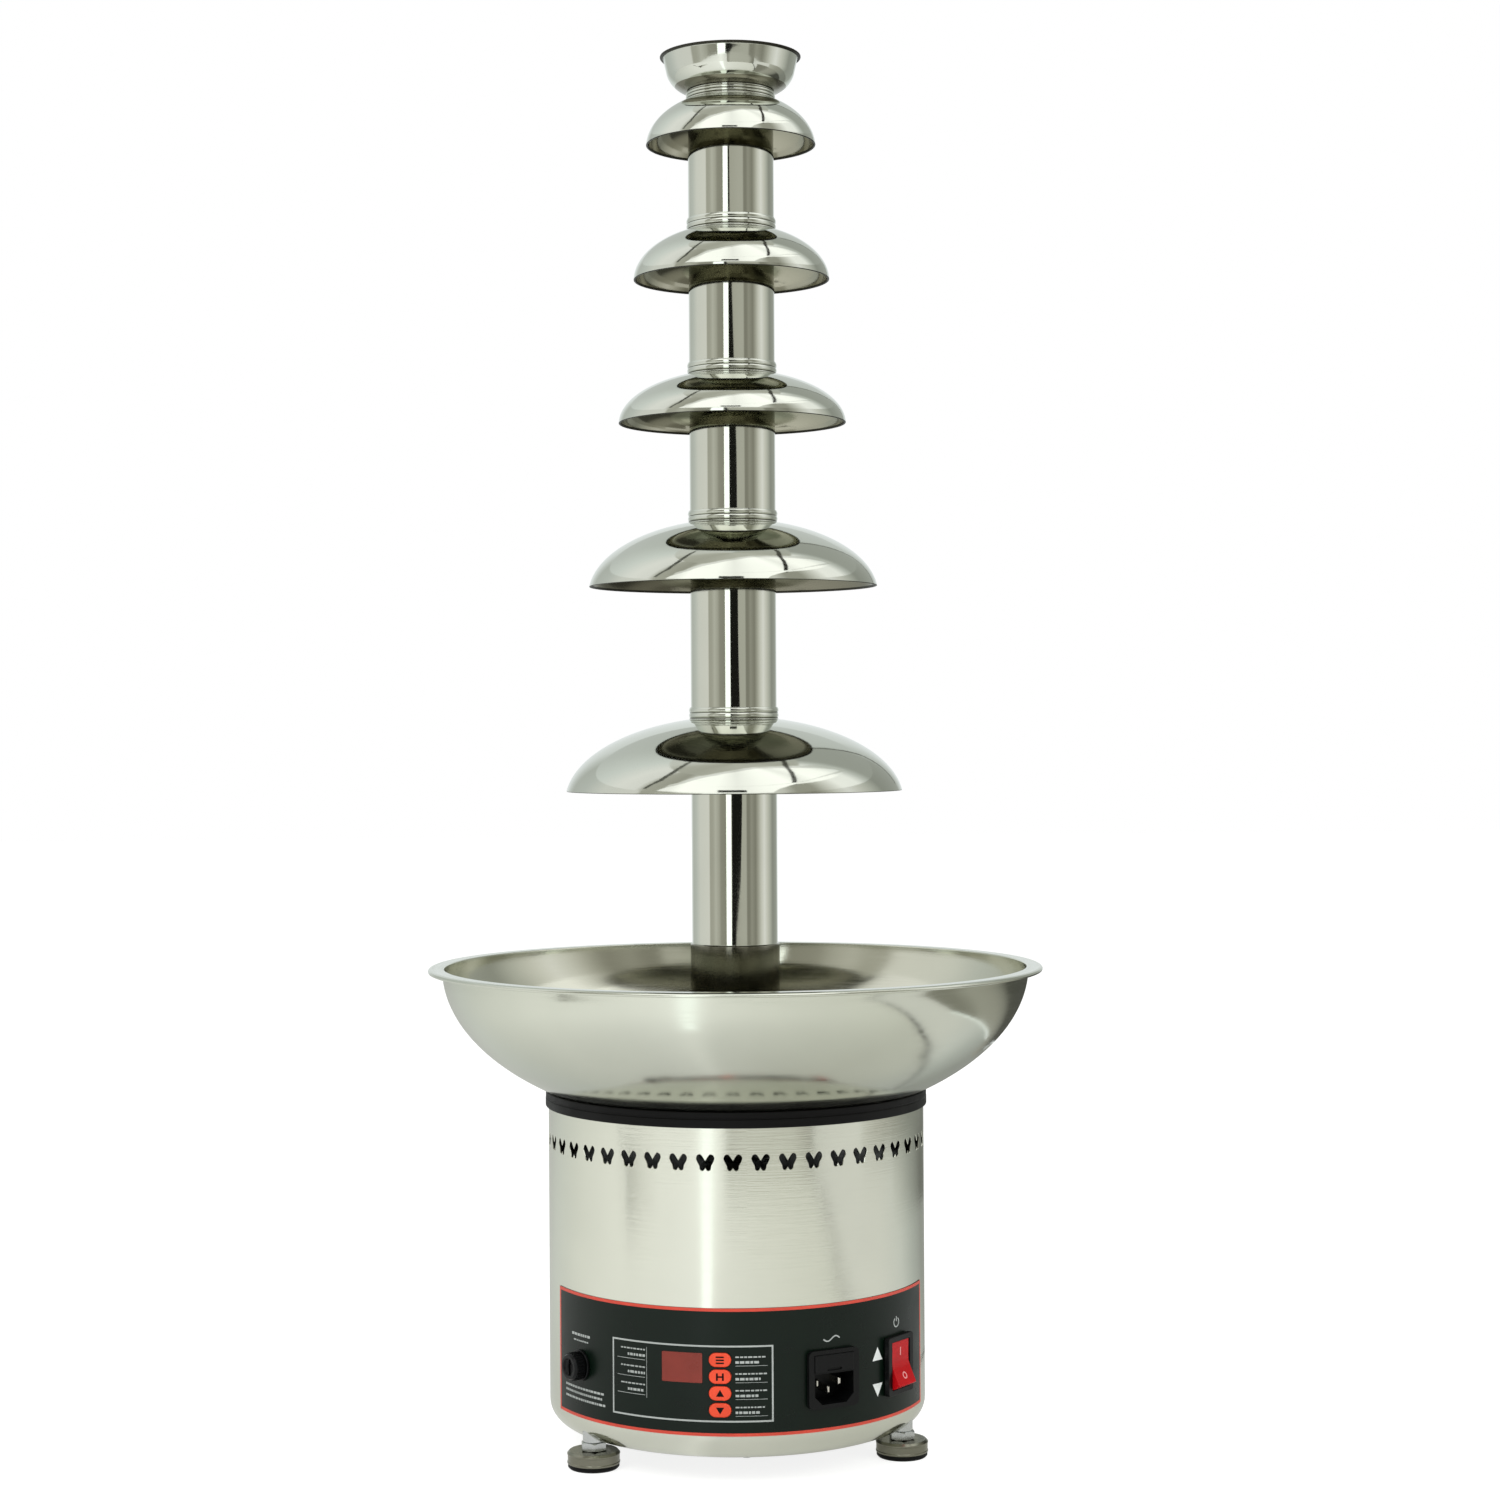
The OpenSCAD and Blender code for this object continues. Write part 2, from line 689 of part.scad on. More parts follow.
// A tube of the tower: it plugs over the spigot of the tube below
module tower_tube(i) {
    low = joint_z(i);
    high = joint_z(i + 1);
    color(steel) difference() {
        union() {
            translate([0, 0, low]) cylinder(r = tube_r, h = high - low);
            translate([0, 0, low]) cylinder(r = spigot_r, h = high - low + spigot_h);
            if (i == 0) translate([0, 0, low]) cylinder(r = foot_sleeve_r, h = foot_sleeve_h);
        }
        translate([0, 0, low - cut]) cylinder(r = bore_r, h = high - low - 4 + cut);
        translate([0, 0, low]) cylinder(r = spigot_bore_r, h = high - low + spigot_h + cut);
        if (i == 0) inlet_windows();
    }
}

// Three windows at the tower's foot let the chocolate in to the auger
module inlet_windows() {
    w = 16;
    h = 20;
    for (i = [0:2]) rotate([0, 0, 120 * i]) translate([10, 0, bowl_floor]) rotate([90, 0, 90])
        linear_extrude(foot_sleeve_r) {
            translate([-w / 2, -cut]) square([w, h + cut]);
            translate([0, h]) circle(r = w / 2);
        }
}

// Bell: a spun dome with a collar that holds the foot of the tube above
module bell(i) {
    top = joint_z(i + 1);
    rise = bell_rise[i];
    sink = bell_sink[i];
    half = bell_r[i] / sqrt(1 - pow(sink / rise, 2));
    rim_z = top - dome_drop(i);
    steps = 18;
    function skin(inset, first, last) = [for (k = [0:steps]) let (u = first + (last - first) * k / steps)
        [(half - inset) * cos(u), rim_z - sink + (rise - inset) * sin(u)]];
    rim = asin(sink / rise);
    rim_in = asin(sink / (rise - bell_wall));
    neck = acos(collar_out_r / half);
    neck_in = acos((tube_r + close_gap) / (half - bell_wall));
    collar_top = top + (i == 4 ? neck_h - 0.8 : collar_h);
    color(steel) rotate_extrude() polygon(concat(
        skin(0, rim, neck),
        [[collar_out_r, collar_top], [collar_in_r, collar_top], [collar_in_r, top],
            [tube_r + close_gap, top]],
        skin(bell_wall, neck_in, rim_in)));
}

// Height of a bell's top joint above its rim
function dome_drop(i) = let (half = bell_r[i] / sqrt(1 - pow(bell_sink[i] / bell_rise[i], 2)))
    bell_rise[i] * sqrt(1 - pow(tube_r / half, 2)) - bell_sink[i];

// Crown: an open cup on a neck that plugs over the last tube's spigot
module crown() {
    foot = joint_z(5);
    floor_z = foot + neck_h;
    rim = foot + crown_h;
    arc_x = tube_r - 2.3;
    arc_z = floor_z + crown_curve_r - 0.5;
    first = 10;
    last = 70;
    steps = 8;
    function arc(r) = [for (k = [0:steps]) let (t = first + (last - first) * k / steps)
        [arc_x + r * sin(t), arc_z - r * cos(t)]];
    outer = arc(crown_curve_r);
    inner = arc(crown_curve_r - bell_wall);
    color(steel) rotate_extrude() polygon(concat(
        [[bore_r, foot], [tube_r, foot], [tube_r, outer[0][1]]], outer,
        [[crown_r, rim], [crown_r - bell_wall, rim]],
        [for (k = [steps:-1:0]) inner[k]],
        [[bore_r, inner[0][1]]]));
}

module panel_overlay() {
    color("#15181a") difference() {
        rotate([0, 0, -90 - film_half_angle]) rotate_extrude(angle = 2 * film_half_angle)
            translate([drum_r + glue_t, drum_z + film_up]) square([film_t, film_h]);
        panel_cuts(inner_r - 4);
    }
}

module display_window() {
    span = 360 * display_w / (2 * PI * drum_r);
    color("#7a1414") rotate([0, 0, display_angle - 90 - span / 2]) rotate_extrude(angle = span)
        translate([inner_r - 0.5, display_z - display_h / 2]) square([panel_r - inner_r, display_h]);
}

board_side = drum_r * sin(display_angle - board_angle);

module display_module() {
    depth = 11.5;
    color("black") at_panel(board_angle, display_z, board_front)
        translate([board_side, 0, 0]) centred_box(display_w + 1.4, display_h + 1, depth);
}

function key_z(i) = drum_z + key_up + key_pitch * (3 - i);

module control_board() {
    switch_side = (drum_r - 6) * sin(key_angle - board_angle);
    color("darkgreen") at_panel(board_angle, 0, board_front - board_t) {
        translate([0, board_mid, 0]) centred_box(board_w, board_h, board_t);
        for (i = [0:3]) translate([switch_side, key_z(i), board_t - 0.2]) centred_box(6, 6, 6);
        translate([-25, board_mid - 10, -8]) centred_box(14, 12, 8 + board_t / 2);
    }
}

power_board_z = plate_top + 7.3;
power_w = 90;
power_d = 44;
power_y = 40;

module board_spacers() {
    side = board_w / 2 - 4;
    reach = sqrt(pow(inner_r, 2) - pow(side + 2.5, 2));
    color("white") {
        for (x = [-side, side], y = [-20, 20])
            at_panel(board_angle, board_mid + y, board_front) translate([x, 0, 0])
            cylinder(r = 2.5, h = reach - board_front);
        for (x = [-power_w / 2 + 5, power_w / 2 - 5], y = [power_y + 5, power_y + power_d - 5])
            translate([x, y, plate_top]) cylinder(r = 3, h = power_board_z - plate_top);
    }
}

// Power board with its transformer, relay and connector
module power_board() {
    color("darkgreen") translate([0, power_y, power_board_z]) {
        translate([-power_w / 2, 0, 0]) cube([power_w, power_d, board_t]);
        translate([-38, 8, board_t / 2]) cube([34, 28, 26]);
        translate([6, 20, board_t / 2]) cube([18, 14, 16]);
        translate([0, 4, board_t / 2]) cube([40, 9, 11]);
    }
}

module key(i) {
    flange_r = inner_r - 1.7;
    color("#e0552a") {
        at_panel(key_angle, key_z(i), flange_r)
            oval(key_w, key_h, panel_r + key_proud - flange_r);
        at_panel(key_angle, key_z(i), flange_r) oval(key_w + 2, key_h + 0.5, 1);
        at_panel(key_angle, key_z(i), drum_r - 6) cylinder(r = stem_r, h = flange_r - drum_r + 6 + 0.5);
    }
}

module inlet_housing() {
    bevel = 4.5;
    color(black_plastic) at_panel(inlet_angle, 0) difference() {
        union() {
            translate([0, socket_z, inlet_back])
                centred_box(inlet_body_w, inlet_body_h, flange_back - inlet_back + cut);
            translate([0, socket_z, flange_back]) centred_box(inlet_w, inlet_h, socket_front - flange_back);
        }
        translate([0, recess_mid, socket_front - recess_depth]) linear_extrude(recess_depth + cut)
            polygon([[-recess_w / 2, recess_h / 2], [-recess_w / 2, bevel - recess_h / 2],
                [bevel - recess_w / 2, -recess_h / 2], [recess_w / 2 - bevel, -recess_h / 2],
                [recess_w / 2, bevel - recess_h / 2], [recess_w / 2, recess_h / 2]]);
        translate([0, drawer_mid, drawer_back - 1]) linear_extrude(socket_front - drawer_back + 2 + cut)
            square([drawer_w + 0.4, drawer_h + 0.4], center = true);
        for (p = pin_places) translate([p[0], recess_mid + p[1], inlet_back - cut])
            centred_box(2.1, 4.1, socket_front - recess_depth - inlet_back + 2 * cut);
    }
}

// Line, neutral and earth pins of the inlet
pin_places = [[-7, 2], [7, 2], [0, -2]];

module inlet_pins() {
    pin_tip = socket_front - 6;
    color("silver") at_panel(inlet_angle, recess_mid)
        for (p = pin_places) translate([p[0], p[1], inlet_back - 5])
            centred_box(2, 4, pin_tip - inlet_back + 5);
}

module fuse_drawer() {
    color(black_plastic) at_panel(inlet_angle, drawer_mid, drawer_back) difference() {
        centred_box(drawer_w, drawer_h, socket_front - drawer_back + 0.6);
        translate([-11, -drawer_h / 2 - cut, 4]) cube([22, drawer_h - 1, 6]);
    }
}

module switch_housing() {
    color(black_plastic) difference() {
        at_panel(switch_angle, socket_z) {
            translate([0, 0, switch_back])
                centred_box(switch_body_w, switch_body_h, flange_back - switch_back + cut);
            translate([0, 0, flange_back]) centred_box(switch_w, switch_h, 3);
        }
        at_rocker() {
            cylinder(r = rocker_r + 0.4, h = rocker_w + 2 * seat_gap, center = true);
            cylinder(r = trunnion_r + close_gap, h = switch_body_w - 1, center = true);
        }
    }
}

// The rocker's pivot: z along the pivot, x outwards, y up
module at_rocker() {
    at_panel(switch_angle, socket_z, rocker_pivot) rotate([0, -90, 0]) children();
}

module rocker() {
    far = 2 * rocker_r;
    end = rocker_r * [sin(rocker_end_angle), cos(rocker_end_angle)];
    dip = 3.4;
    face = concat([[far, far], end], [[dip, 0]], [[end[0], -end[1]], [far, -far]]);
    color("#c01818") at_rocker() {
        rotate([0, 0, rocker_tilt]) difference() {
            cylinder(r = rocker_r, h = rocker_w, center = true);
            translate([0, 0, -rocker_w]) linear_extrude(2 * rocker_w) polygon(face);
        }
        cylinder(r = trunnion_r, h = switch_body_w - 1.6, center = true);
    }
}

cap_gap = 0.3;
bezel_h = 1.5;
cap_stem_r = 4.4;
cap_back = holder_back + 3 + fuse_len - 4;

module fuse_holder() {
    color(black_plastic) at_panel(fuse_angle, fuse_z) difference() {
        union() {
            translate([0, 0, holder_back]) cylinder(r = holder_r, h = flange_back - holder_back + cut);
            translate([0, 0, flange_back]) cylinder(r = fuse_cap_r + 1, h = bezel_h);
        }
        translate([0, 0, holder_back + 2.5])
            cylinder(r = cap_stem_r + seat_gap, h = flange_back + bezel_h - holder_back);
    }
}

module fuse_cap() {
    color(black_plastic) at_panel(fuse_angle, fuse_z) difference() {
        union() {
            translate([0, 0, flange_back + bezel_h + cap_gap]) cylinder(r = fuse_cap_r, h = fuse_cap_len);
            translate([0, 0, cap_back])
                cylinder(r = cap_stem_r, h = flange_back + bezel_h + cap_gap + cut - cap_back);
        }
        translate([0, 0, cap_back - cut]) cylinder(r = fuse_r + close_gap, h = 5 + cut);
        translate([-fuse_cap_r, -0.8, flange_back + bezel_h + cap_gap + fuse_cap_len - 1.2])
            cube([2 * fuse_cap_r, 1.6, 2]);
    }
}

module glass_fuse() {
    color("lightcyan") at_panel(fuse_angle, fuse_z, holder_back + 3)
        cylinder(r = fuse_r, h = fuse_len);
}

// A lead swept along points, with a ring square to the way through each of them
lead_r = 1.6;
lead_sides = 8;
ring_reference = [1, -0.4, 0.5];
function unit(v) = v / norm(v);
function lead_dir(p, i) = i == 0 ? unit(p[1] - p[0])
    : i == len(p) - 1 ? unit(p[i] - p[i - 1])
    : unit(unit(p[i] - p[i - 1]) + unit(p[i + 1] - p[i]));

module lead(p) {
    n = lead_sides;
    last = len(p) - 1;
    rings = [for (i = [0:last]) let (d = lead_dir(p, i), x = unit(cross(ring_reference, d)), y = cross(d, x))
        each [for (k = [0:n - 1]) p[i] + lead_r * (x * cos(360 * k / n) + y * sin(360 * k / n))]];
    skin = [for (i = [0:last - 1], k = [0:n - 1]) let (b = n * i, j = (k + 1) % n)
        each [[b + k, b + n + k, b + j], [b + j, b + n + k, b + n + j]]];
    polyhedron(points = rings, faces = concat(
        [[for (k = [0:n - 1]) k]], skin, [[for (k = [n - 1:-1:0]) n * last + k]]));
}

// A lead's drop on to the power board's connector
connector_y = 49;
connector_top = power_board_z + board_t / 2 + 11;
function drop(x) = [[x, connector_y, connector_top + 6], [x, connector_y, connector_top]];

// Mains, fuse, motor, heater and board leads, all down to the power board's connector
module wiring() {
    heater_mid = (drum_top - drum_wall + insulation_h + bowl_under) / 2;
    heater_end = panel_point(lead_angle, 0, heater_out_r, heater_mid);
    heater_turn = panel_point(lead_angle, 0, probe_circle_r, heater_mid);
    color("firebrick") {
        lead(concat([panel_point(inlet_angle, -9, inlet_back, 64),
            panel_point(inlet_angle, -9, inlet_back - 8, 64),
            [46, -30, 52], [50, 6, 46], [44, 34, 46]], drop(29)));
        lead(concat([panel_point(switch_angle, 0, switch_back, 57),
            panel_point(switch_angle, 0, switch_back - 8, 57),
            [66, -20, 52], [64, 10, 46], [54, 38, 44]], drop(36)));
        lead(concat([panel_point(fuse_angle, 0, holder_back, fuse_z),
            panel_point(fuse_angle, 0, holder_back - 8, fuse_z),
            [-56, -10, 56], [-54, 16, 57], [-40, 38, 58], [-10, 44, 56]], drop(10)));
        lead(concat([[0, motor_r + 1.5, motor_z + 4], [0, motor_r + 7, motor_z + 4], [10, 44, motor_z + 2]],
            drop(16.5)));
        lead(concat([heater_end, heater_turn, heater_turn - [0, 0, 16], [12, 69, 160], [14, 62, 120],
            [20, 52, 70]], drop(22.5)));
    }
    color("lightgray")
        lead(concat([panel_point(board_angle, -25, board_front - board_t - 8, board_mid - 12),
            panel_point(board_angle, -25, 76, board_mid - 12), [-50, -44, 40], [-52, -10, 36],
            [-44, 26, 36], [-14, 41, 42]], drop(3.5)));
}

base_shell();
bottom_plate();
chassis_screws();
foot_bushes();
foot_locknuts();
motor_plate();
support_plate();
bowl_gasket();
bowl();
bowl_hub();
hub_nut();
shaft_bush();
shaft_seal();
heater_ring();
heater_insulation();
temperature_sensor();
thermal_cutout();
gearbox();
motor();
panel_overlay();
display_window();
display_module();
control_board();
board_spacers();
inlet_housing();
inlet_pins();
switch_housing();
fuse_holder();
power_board();
wiring();
gearbox_shaft();
shaft_coupling();
drive_shaft();
auger_core();
auger_flight();
tower_tube(0);  // tube_1
tower_tube(1);  // tube_2
tower_tube(2);  // tube_3
tower_tube(3);  // tube_4
tower_tube(4);  // tube_5
bell(0);  // bell_1
bell(1);  // bell_2
bell(2);  // bell_3
bell(3);  // bell_4
bell(4);  // bell_5
crown();
key(0);  // key_1
key(1);  // key_2
key(2);  // key_3
key(3);  // key_4
rocker();
fuse_cap();
glass_fuse();
fuse_drawer();
foot(0);  // foot_1
foot(1);  // foot_2
foot(2);  // foot_3
foot_pad(0);  // foot_pad_1
foot_pad(1);  // foot_pad_2
foot_pad(2);  // foot_pad_3
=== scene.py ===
# Chocolate fountain: a heated bowl on a motor base, and a tower of five bells round a feed screw.
# Sizes in this file are in millimetres; the panel faces -Y and the origin is on the floor.
import math
import random

import bmesh
import bpy
from mathutils import Matrix, Vector


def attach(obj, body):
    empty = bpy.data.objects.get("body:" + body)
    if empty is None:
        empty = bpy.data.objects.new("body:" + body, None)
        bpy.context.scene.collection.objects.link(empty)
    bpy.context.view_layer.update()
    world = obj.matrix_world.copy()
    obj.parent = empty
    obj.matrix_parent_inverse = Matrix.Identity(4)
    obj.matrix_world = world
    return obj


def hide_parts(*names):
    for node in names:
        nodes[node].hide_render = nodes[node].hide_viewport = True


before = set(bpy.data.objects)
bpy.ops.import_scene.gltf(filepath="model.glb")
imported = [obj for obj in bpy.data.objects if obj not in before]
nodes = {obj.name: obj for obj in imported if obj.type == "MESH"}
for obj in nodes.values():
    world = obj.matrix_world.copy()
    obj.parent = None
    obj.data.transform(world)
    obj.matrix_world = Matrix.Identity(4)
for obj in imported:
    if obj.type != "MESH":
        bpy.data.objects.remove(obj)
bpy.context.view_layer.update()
MM = 0.001

# Levelling feet: a turned stainless cup on a threaded stud, which screws up into a bush in the
# drum's bottom corner, with a rubber pad pressed in below and a hex nut that locks the stud.
# Each foot rides on its own body, because its stud is screwed out to level the fountain.
PAD_TOP = 2.7
CUP_TOP = 9.7
CUP_R = 14.6
PAD_PLUG_R = 12.0
STUD_R = 3.95
STUD_TOP = CUP_TOP + 22
THREAD_PITCH = 1.25
FOOT_CIRCLE_R = 99.5
FOOT_ANGLES = (-56, 64, 184)
DRUM_FOOT = 14.5
NUT_R = 7.5
NUT_H = 4.7
NUT_SIDES = 72
BUSH_R = 6
BUSH_H = 19.5


def colour(code):
    """An sRGB hex code as the linear colour that a socket holds."""
    parts = [int(code[i:i + 2], 16) / 255 for i in (1, 3, 5)]
    return [c / 12.92 if c <= 0.04045 else ((c + 0.055) / 1.055) ** 2.4 for c in parts] + [1.0]


def add(tree, kind, links=None, **settings):
    """Adds a node with its settings; each entry of links is a socket's value or what feeds it."""
    node = tree.nodes.new(kind)
    for name, value in settings.items():
        setattr(node, name, value)
    for name, value in (links or {}).items():
        if isinstance(value, bpy.types.NodeSocket):
            tree.links.new(value, node.inputs[name])
        else:
            node.inputs[name].default_value = value
    return node


def maths(tree, operation, *values):
    return add(tree, "ShaderNodeMath", dict(enumerate(values)), operation=operation).outputs[0]


def noise(tree, place, scale, detail=2.0, rough=0.5):
    return add(tree, "ShaderNodeTexNoise", {"Vector": place, "Scale": scale, "Detail": detail,
                                            "Roughness": rough}).outputs[0]


def ranged(tree, value, low, high, first=0.0, last=1.0, **settings):
    """A value that runs from low to high while another runs from first to last."""
    return add(tree, "ShaderNodeMapRange", {0: value, 1: first, 2: last, 3: low, 4: high},
               **settings).outputs[0]


def scaled(tree, shade, by):
    return add(tree, "ShaderNodeVectorMath", {0: shade, 3: by}, operation="SCALE").outputs[0]


def bumped(tree, height, distance, under=None):
    links = {"Height": height, "Strength": 1.0, "Distance": distance}
    if under:
        links["Normal"] = under
    return add(tree, "ShaderNodeBump", links).outputs[0]


def object_place(tree):
    return add(tree, "ShaderNodeTexCoord").outputs["Object"]


def blank_material(name):
    material = bpy.data.materials.new(name)
    material.use_nodes = True
    material.node_tree.nodes.clear()
    return material, material.node_tree


def stainless(name, tint, shine, dull, line, line_slope, wave_slope):
    """Stainless steel whose fine lines run round the object, as turning, spinning and rolling
    leave them. line is their spacing in mm; the slopes say how far lines and waves tilt the face."""
    material, tree = blank_material(name)
    place = object_place(tree)
    xyz = add(tree, "ShaderNodeSeparateXYZ", {0: place}).outputs
    angle = maths(tree, "ARCTAN2", xyz[0], xyz[1])
    flat = add(tree, "ShaderNodeVectorMath", {0: place, 1: (1, 1, 0)}, operation="MULTIPLY")
    radius = add(tree, "ShaderNodeVectorMath", {0: flat.outputs[0]}, operation="LENGTH").outputs[1]
    round_it = add(tree, "ShaderNodeCombineXYZ", {0: angle, 1: xyz[2], 2: radius}).outputs[0]
    per_m = 1 / (line * MM)
    stretched = add(tree, "ShaderNodeVectorMath", {0: round_it, 1: (2.5, per_m, per_m)},
                    operation="MULTIPLY").outputs[0]
    lines = noise(tree, stretched, 1.0, 3.0, 0.65)
    patches = noise(tree, place, 22.0, 3.0)
    waves = noise(tree, place, 14.0, 0.0)
    rough = ranged(tree, maths(tree, "ADD", lines, patches), shine, dull, 0.7, 1.3)
    shade = scaled(tree, colour(tint)[:3], ranged(tree, patches, 0.95, 1.0, 0.3, 0.7))
    wavy = bumped(tree, waves, wave_slope * 0.05)
    brushed = bumped(tree, lines, line_slope * line * MM * 0.5, wavy)
    shader = add(tree, "ShaderNodeBsdfPrincipled", {"Base Color": shade, "Metallic": 1.0,
                                                    "Roughness": rough, "Normal": brushed})
    add(tree, "ShaderNodeOutputMaterial", {0: shader.outputs[0]})
    return material


def moulded(name, code, rough, grain, depth, metallic=0.0, spread=0.08, gloss=0.5):
    """A plastic, rubber, paint or cast metal: fine grain of a size in mm, and small patches
    where it is a little lighter and duller from handling."""
    material, tree = blank_material(name)
    place = object_place(tree)
    patches = noise(tree, place, 60.0, 3.0)
    duller = ranged(tree, patches, rough - spread, rough + spread, 0.3, 0.7)
    shade = scaled(tree, colour(code)[:3], ranged(tree, patches, 0.88, 1.08, 0.3, 0.7))
    bumpy = bumped(tree, noise(tree, place, 1 / (grain * MM)), depth * MM)
    shader = add(tree, "ShaderNodeBsdfPrincipled", {"Base Color": shade, "Metallic": metallic,
                                                    "Roughness": duller, "Normal": bumpy,
                                                    "Specular IOR Level": gloss})
    add(tree, "ShaderNodeOutputMaterial", {0: shader.outputs[0]})
    return material


def rounded(outline, edge):
    """A closed outline, anticlockwise, with its corners rounded: each point with its outward normal."""
    points = [Vector(p) for p in outline]
    if sum(a.x * b.y - b.x * a.y for a, b in zip(points, points[1:] + points[:1])) < 0:
        points.reverse()
    result = []
    for i, here in enumerate(points):
        come, go = here - points[i - 1], points[(i + 1) % len(points)] - here
        turn = math.atan2(come.x * go.y - come.y * go.x, come.dot(go))
        first, last = come.normalized(), go.normalized()
        out_first, out_last = Vector((first.y, -first.x)), Vector((last.y, -last.x))
        if here.x < 1e-6:
            result.append((here, out_first if abs(last.x) < 1e-6 else out_last))
        elif abs(turn) < math.radians(13):
            result.append((here, (out_first + out_last).normalized()))
        else:
            reach = min(edge * math.tan(abs(turn) / 2), 0.45 * come.length, 0.45 * go.length)
            radius = reach / math.tan(abs(turn) / 2)
            side = 1 if turn > 0 else -1
            start = here - first * reach
            centre = start - out_first * radius * side
            steps = max(2, math.ceil(abs(turn) / math.radians(22)))
            for k in range(steps + 1):
                normal = out_first.copy()
                normal.rotate(Matrix.Rotation(turn * k / steps, 2))
                result.append((centre + normal * radius * side, normal))
    return result


def placed(name, data):
    """An object with its data, put in the scene."""
    obj = bpy.data.objects.new(name, data)
    bpy.context.scene.collection.objects.link(obj)
    return obj


def smooth_shaded(mesh):
    mesh.polygons.foreach_set("use_smooth", [True] * len(mesh.polygons))


def spun(name, outline, finish, edge=0.25, sides=192, place=Matrix()):
    """Turns an outline of (radius, height) points round its axis, with the turned surface's own normals."""
    ring = rounded(outline, edge)
    points, normals, faces, starts = [], [], [], []
    for p, n in ring:
        starts.append(len(points))
        count = 1 if p.x < 1e-6 else sides
        for j in range(count):
            c, s = math.cos(2 * math.pi * j / sides), math.sin(2 * math.pi * j / sides)
            points.append(place @ (Vector((p.x * c, p.x * s, p.y))) * MM)
            normals.append(place.to_3x3() @ Vector((n.x * c, n.x * s, n.y)))
    for i, a in enumerate(starts):
        b = starts[(i + 1) % len(starts)]
        on_axis = [ring[i][0].x < 1e-6, ring[(i + 1) % len(ring)][0].x < 1e-6]
        if all(on_axis):
            continue
        for j in range(sides):
            k = (j + 1) % sides
            if on_axis[0]:
                faces.append((a, b + k, b + j))
            elif on_axis[1]:
                faces.append((a + j, a + k, b))
            else:
                faces.append((a + j, a + k, b + k, b + j))
    mesh = bpy.data.meshes.new(name)
    mesh.from_pydata(points, [], faces)
    smooth_shaded(mesh)
    mesh.normals_split_custom_set_from_vertices(normals)
    mesh.materials.append(finish)
    return placed(name, mesh)


def settle(obj, body, slot, *replaced):
    """Puts a finished piece on its body and hides the solids that it stands for. Its slot is not used."""
    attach(obj, body)
    if replaced:
        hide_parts(*replaced)
    return obj


def plain(obj):
    """Turns an object with modifiers into a plain mesh."""
    depsgraph = bpy.context.evaluated_depsgraph_get()
    mesh = bpy.data.meshes.new_from_object(obj.evaluated_get(depsgraph), depsgraph=depsgraph)
    obj.modifiers.clear()
    obj.data = mesh
    mesh.name = obj.name
    return obj


def geometry_tree(name, inputs):
    """A geometry node tree and the sockets by which its inputs come in."""
    tree = bpy.data.node_groups.new(name, "GeometryNodeTree")
    tree.is_modifier = True
    for label, kind in inputs:
        tree.interface.new_socket(label, in_out="INPUT", socket_type="NodeSocket" + kind)
    tree.interface.new_socket("Result", in_out="OUTPUT", socket_type="NodeSocketGeometry")
    return tree, add(tree, "NodeGroupInput").outputs


def end_tree(tree, geometry, finish):
    """Ends a geometry tree: its geometry made real, in a finish."""
    real = add(tree, "GeometryNodeRealizeInstances", {0: geometry}).outputs[0]
    result = add(tree, "GeometryNodeSetMaterial", {"Geometry": real, "Material": finish}).outputs[0]
    add(tree, "NodeGroupOutput", {0: result})
    return tree


def ring_tree():
    """A node tree that repeats a piece round the object's axis."""
    tree, given = geometry_tree("ring of pieces", (
        ("Piece", "Geometry"), ("Count", "Int"), ("First angle", "Float"), ("Step angle", "Float"),
        ("Finish", "Material")))
    points = add(tree, "GeometryNodePoints", {"Count": given["Count"]})
    order = add(tree, "GeometryNodeInputIndex").outputs[0]
    turn = maths(tree, "MULTIPLY_ADD", order, given["Step angle"], given["First angle"])
    angles = add(tree, "ShaderNodeCombineXYZ", {2: turn}).outputs[0]
    copies = add(tree, "GeometryNodeInstanceOnPoints",
                 {"Points": points.outputs[0], "Instance": given["Piece"], "Rotation": angles})
    return end_tree(tree, copies.outputs[0], given["Finish"])


RING = ring_tree()


def fill_inputs(modifier, values):
    for item in modifier.node_group.interface.items_tree:
        if item.item_type == "SOCKET" and item.in_out == "INPUT" and item.name in values:
            modifier[item.identifier] = values[item.name]


def ring_of(obj, count, first, step, finish):
    """Repeats an object's mesh round Z, angles in degrees, and leaves one plain mesh."""
    modifier = obj.modifiers.new("ring", "NODES")
    modifier.node_group = RING
    fill_inputs(modifier, {"Count": count, "First angle": math.radians(first),
                           "Step angle": math.radians(step), "Finish": finish})
    return plain(obj)


# Turned and polished stainless with fine lathe lines round each cup, its colour darkened to an olive grey as
# a painted dark reflection of what the feet mirror
turned_steel_painted_dark = stainless("turned_stainless_painted_reflection", "#858476", 0.14, 0.28, 0.5, 0.03, 0.002)
# Zinc plated steel: a bluish white that is duller than the stainless
plated_steel = stainless("zinc_plated_steel", "#c9cccb", 0.16, 0.34, 0.8, 0.02, 0.002)
# Moulded EPDM rubber: deep black and soft, with no clear reflections
rubber = moulded("epdm_rubber", "#0b0b0b", 0.5, 0.5, 0.01, gloss=0.14)


def foot_place(angle):
    return Matrix.Rotation(math.radians(angle), 4, "Z") @ Matrix.Translation((0, -FOOT_CIRCLE_R, 0))


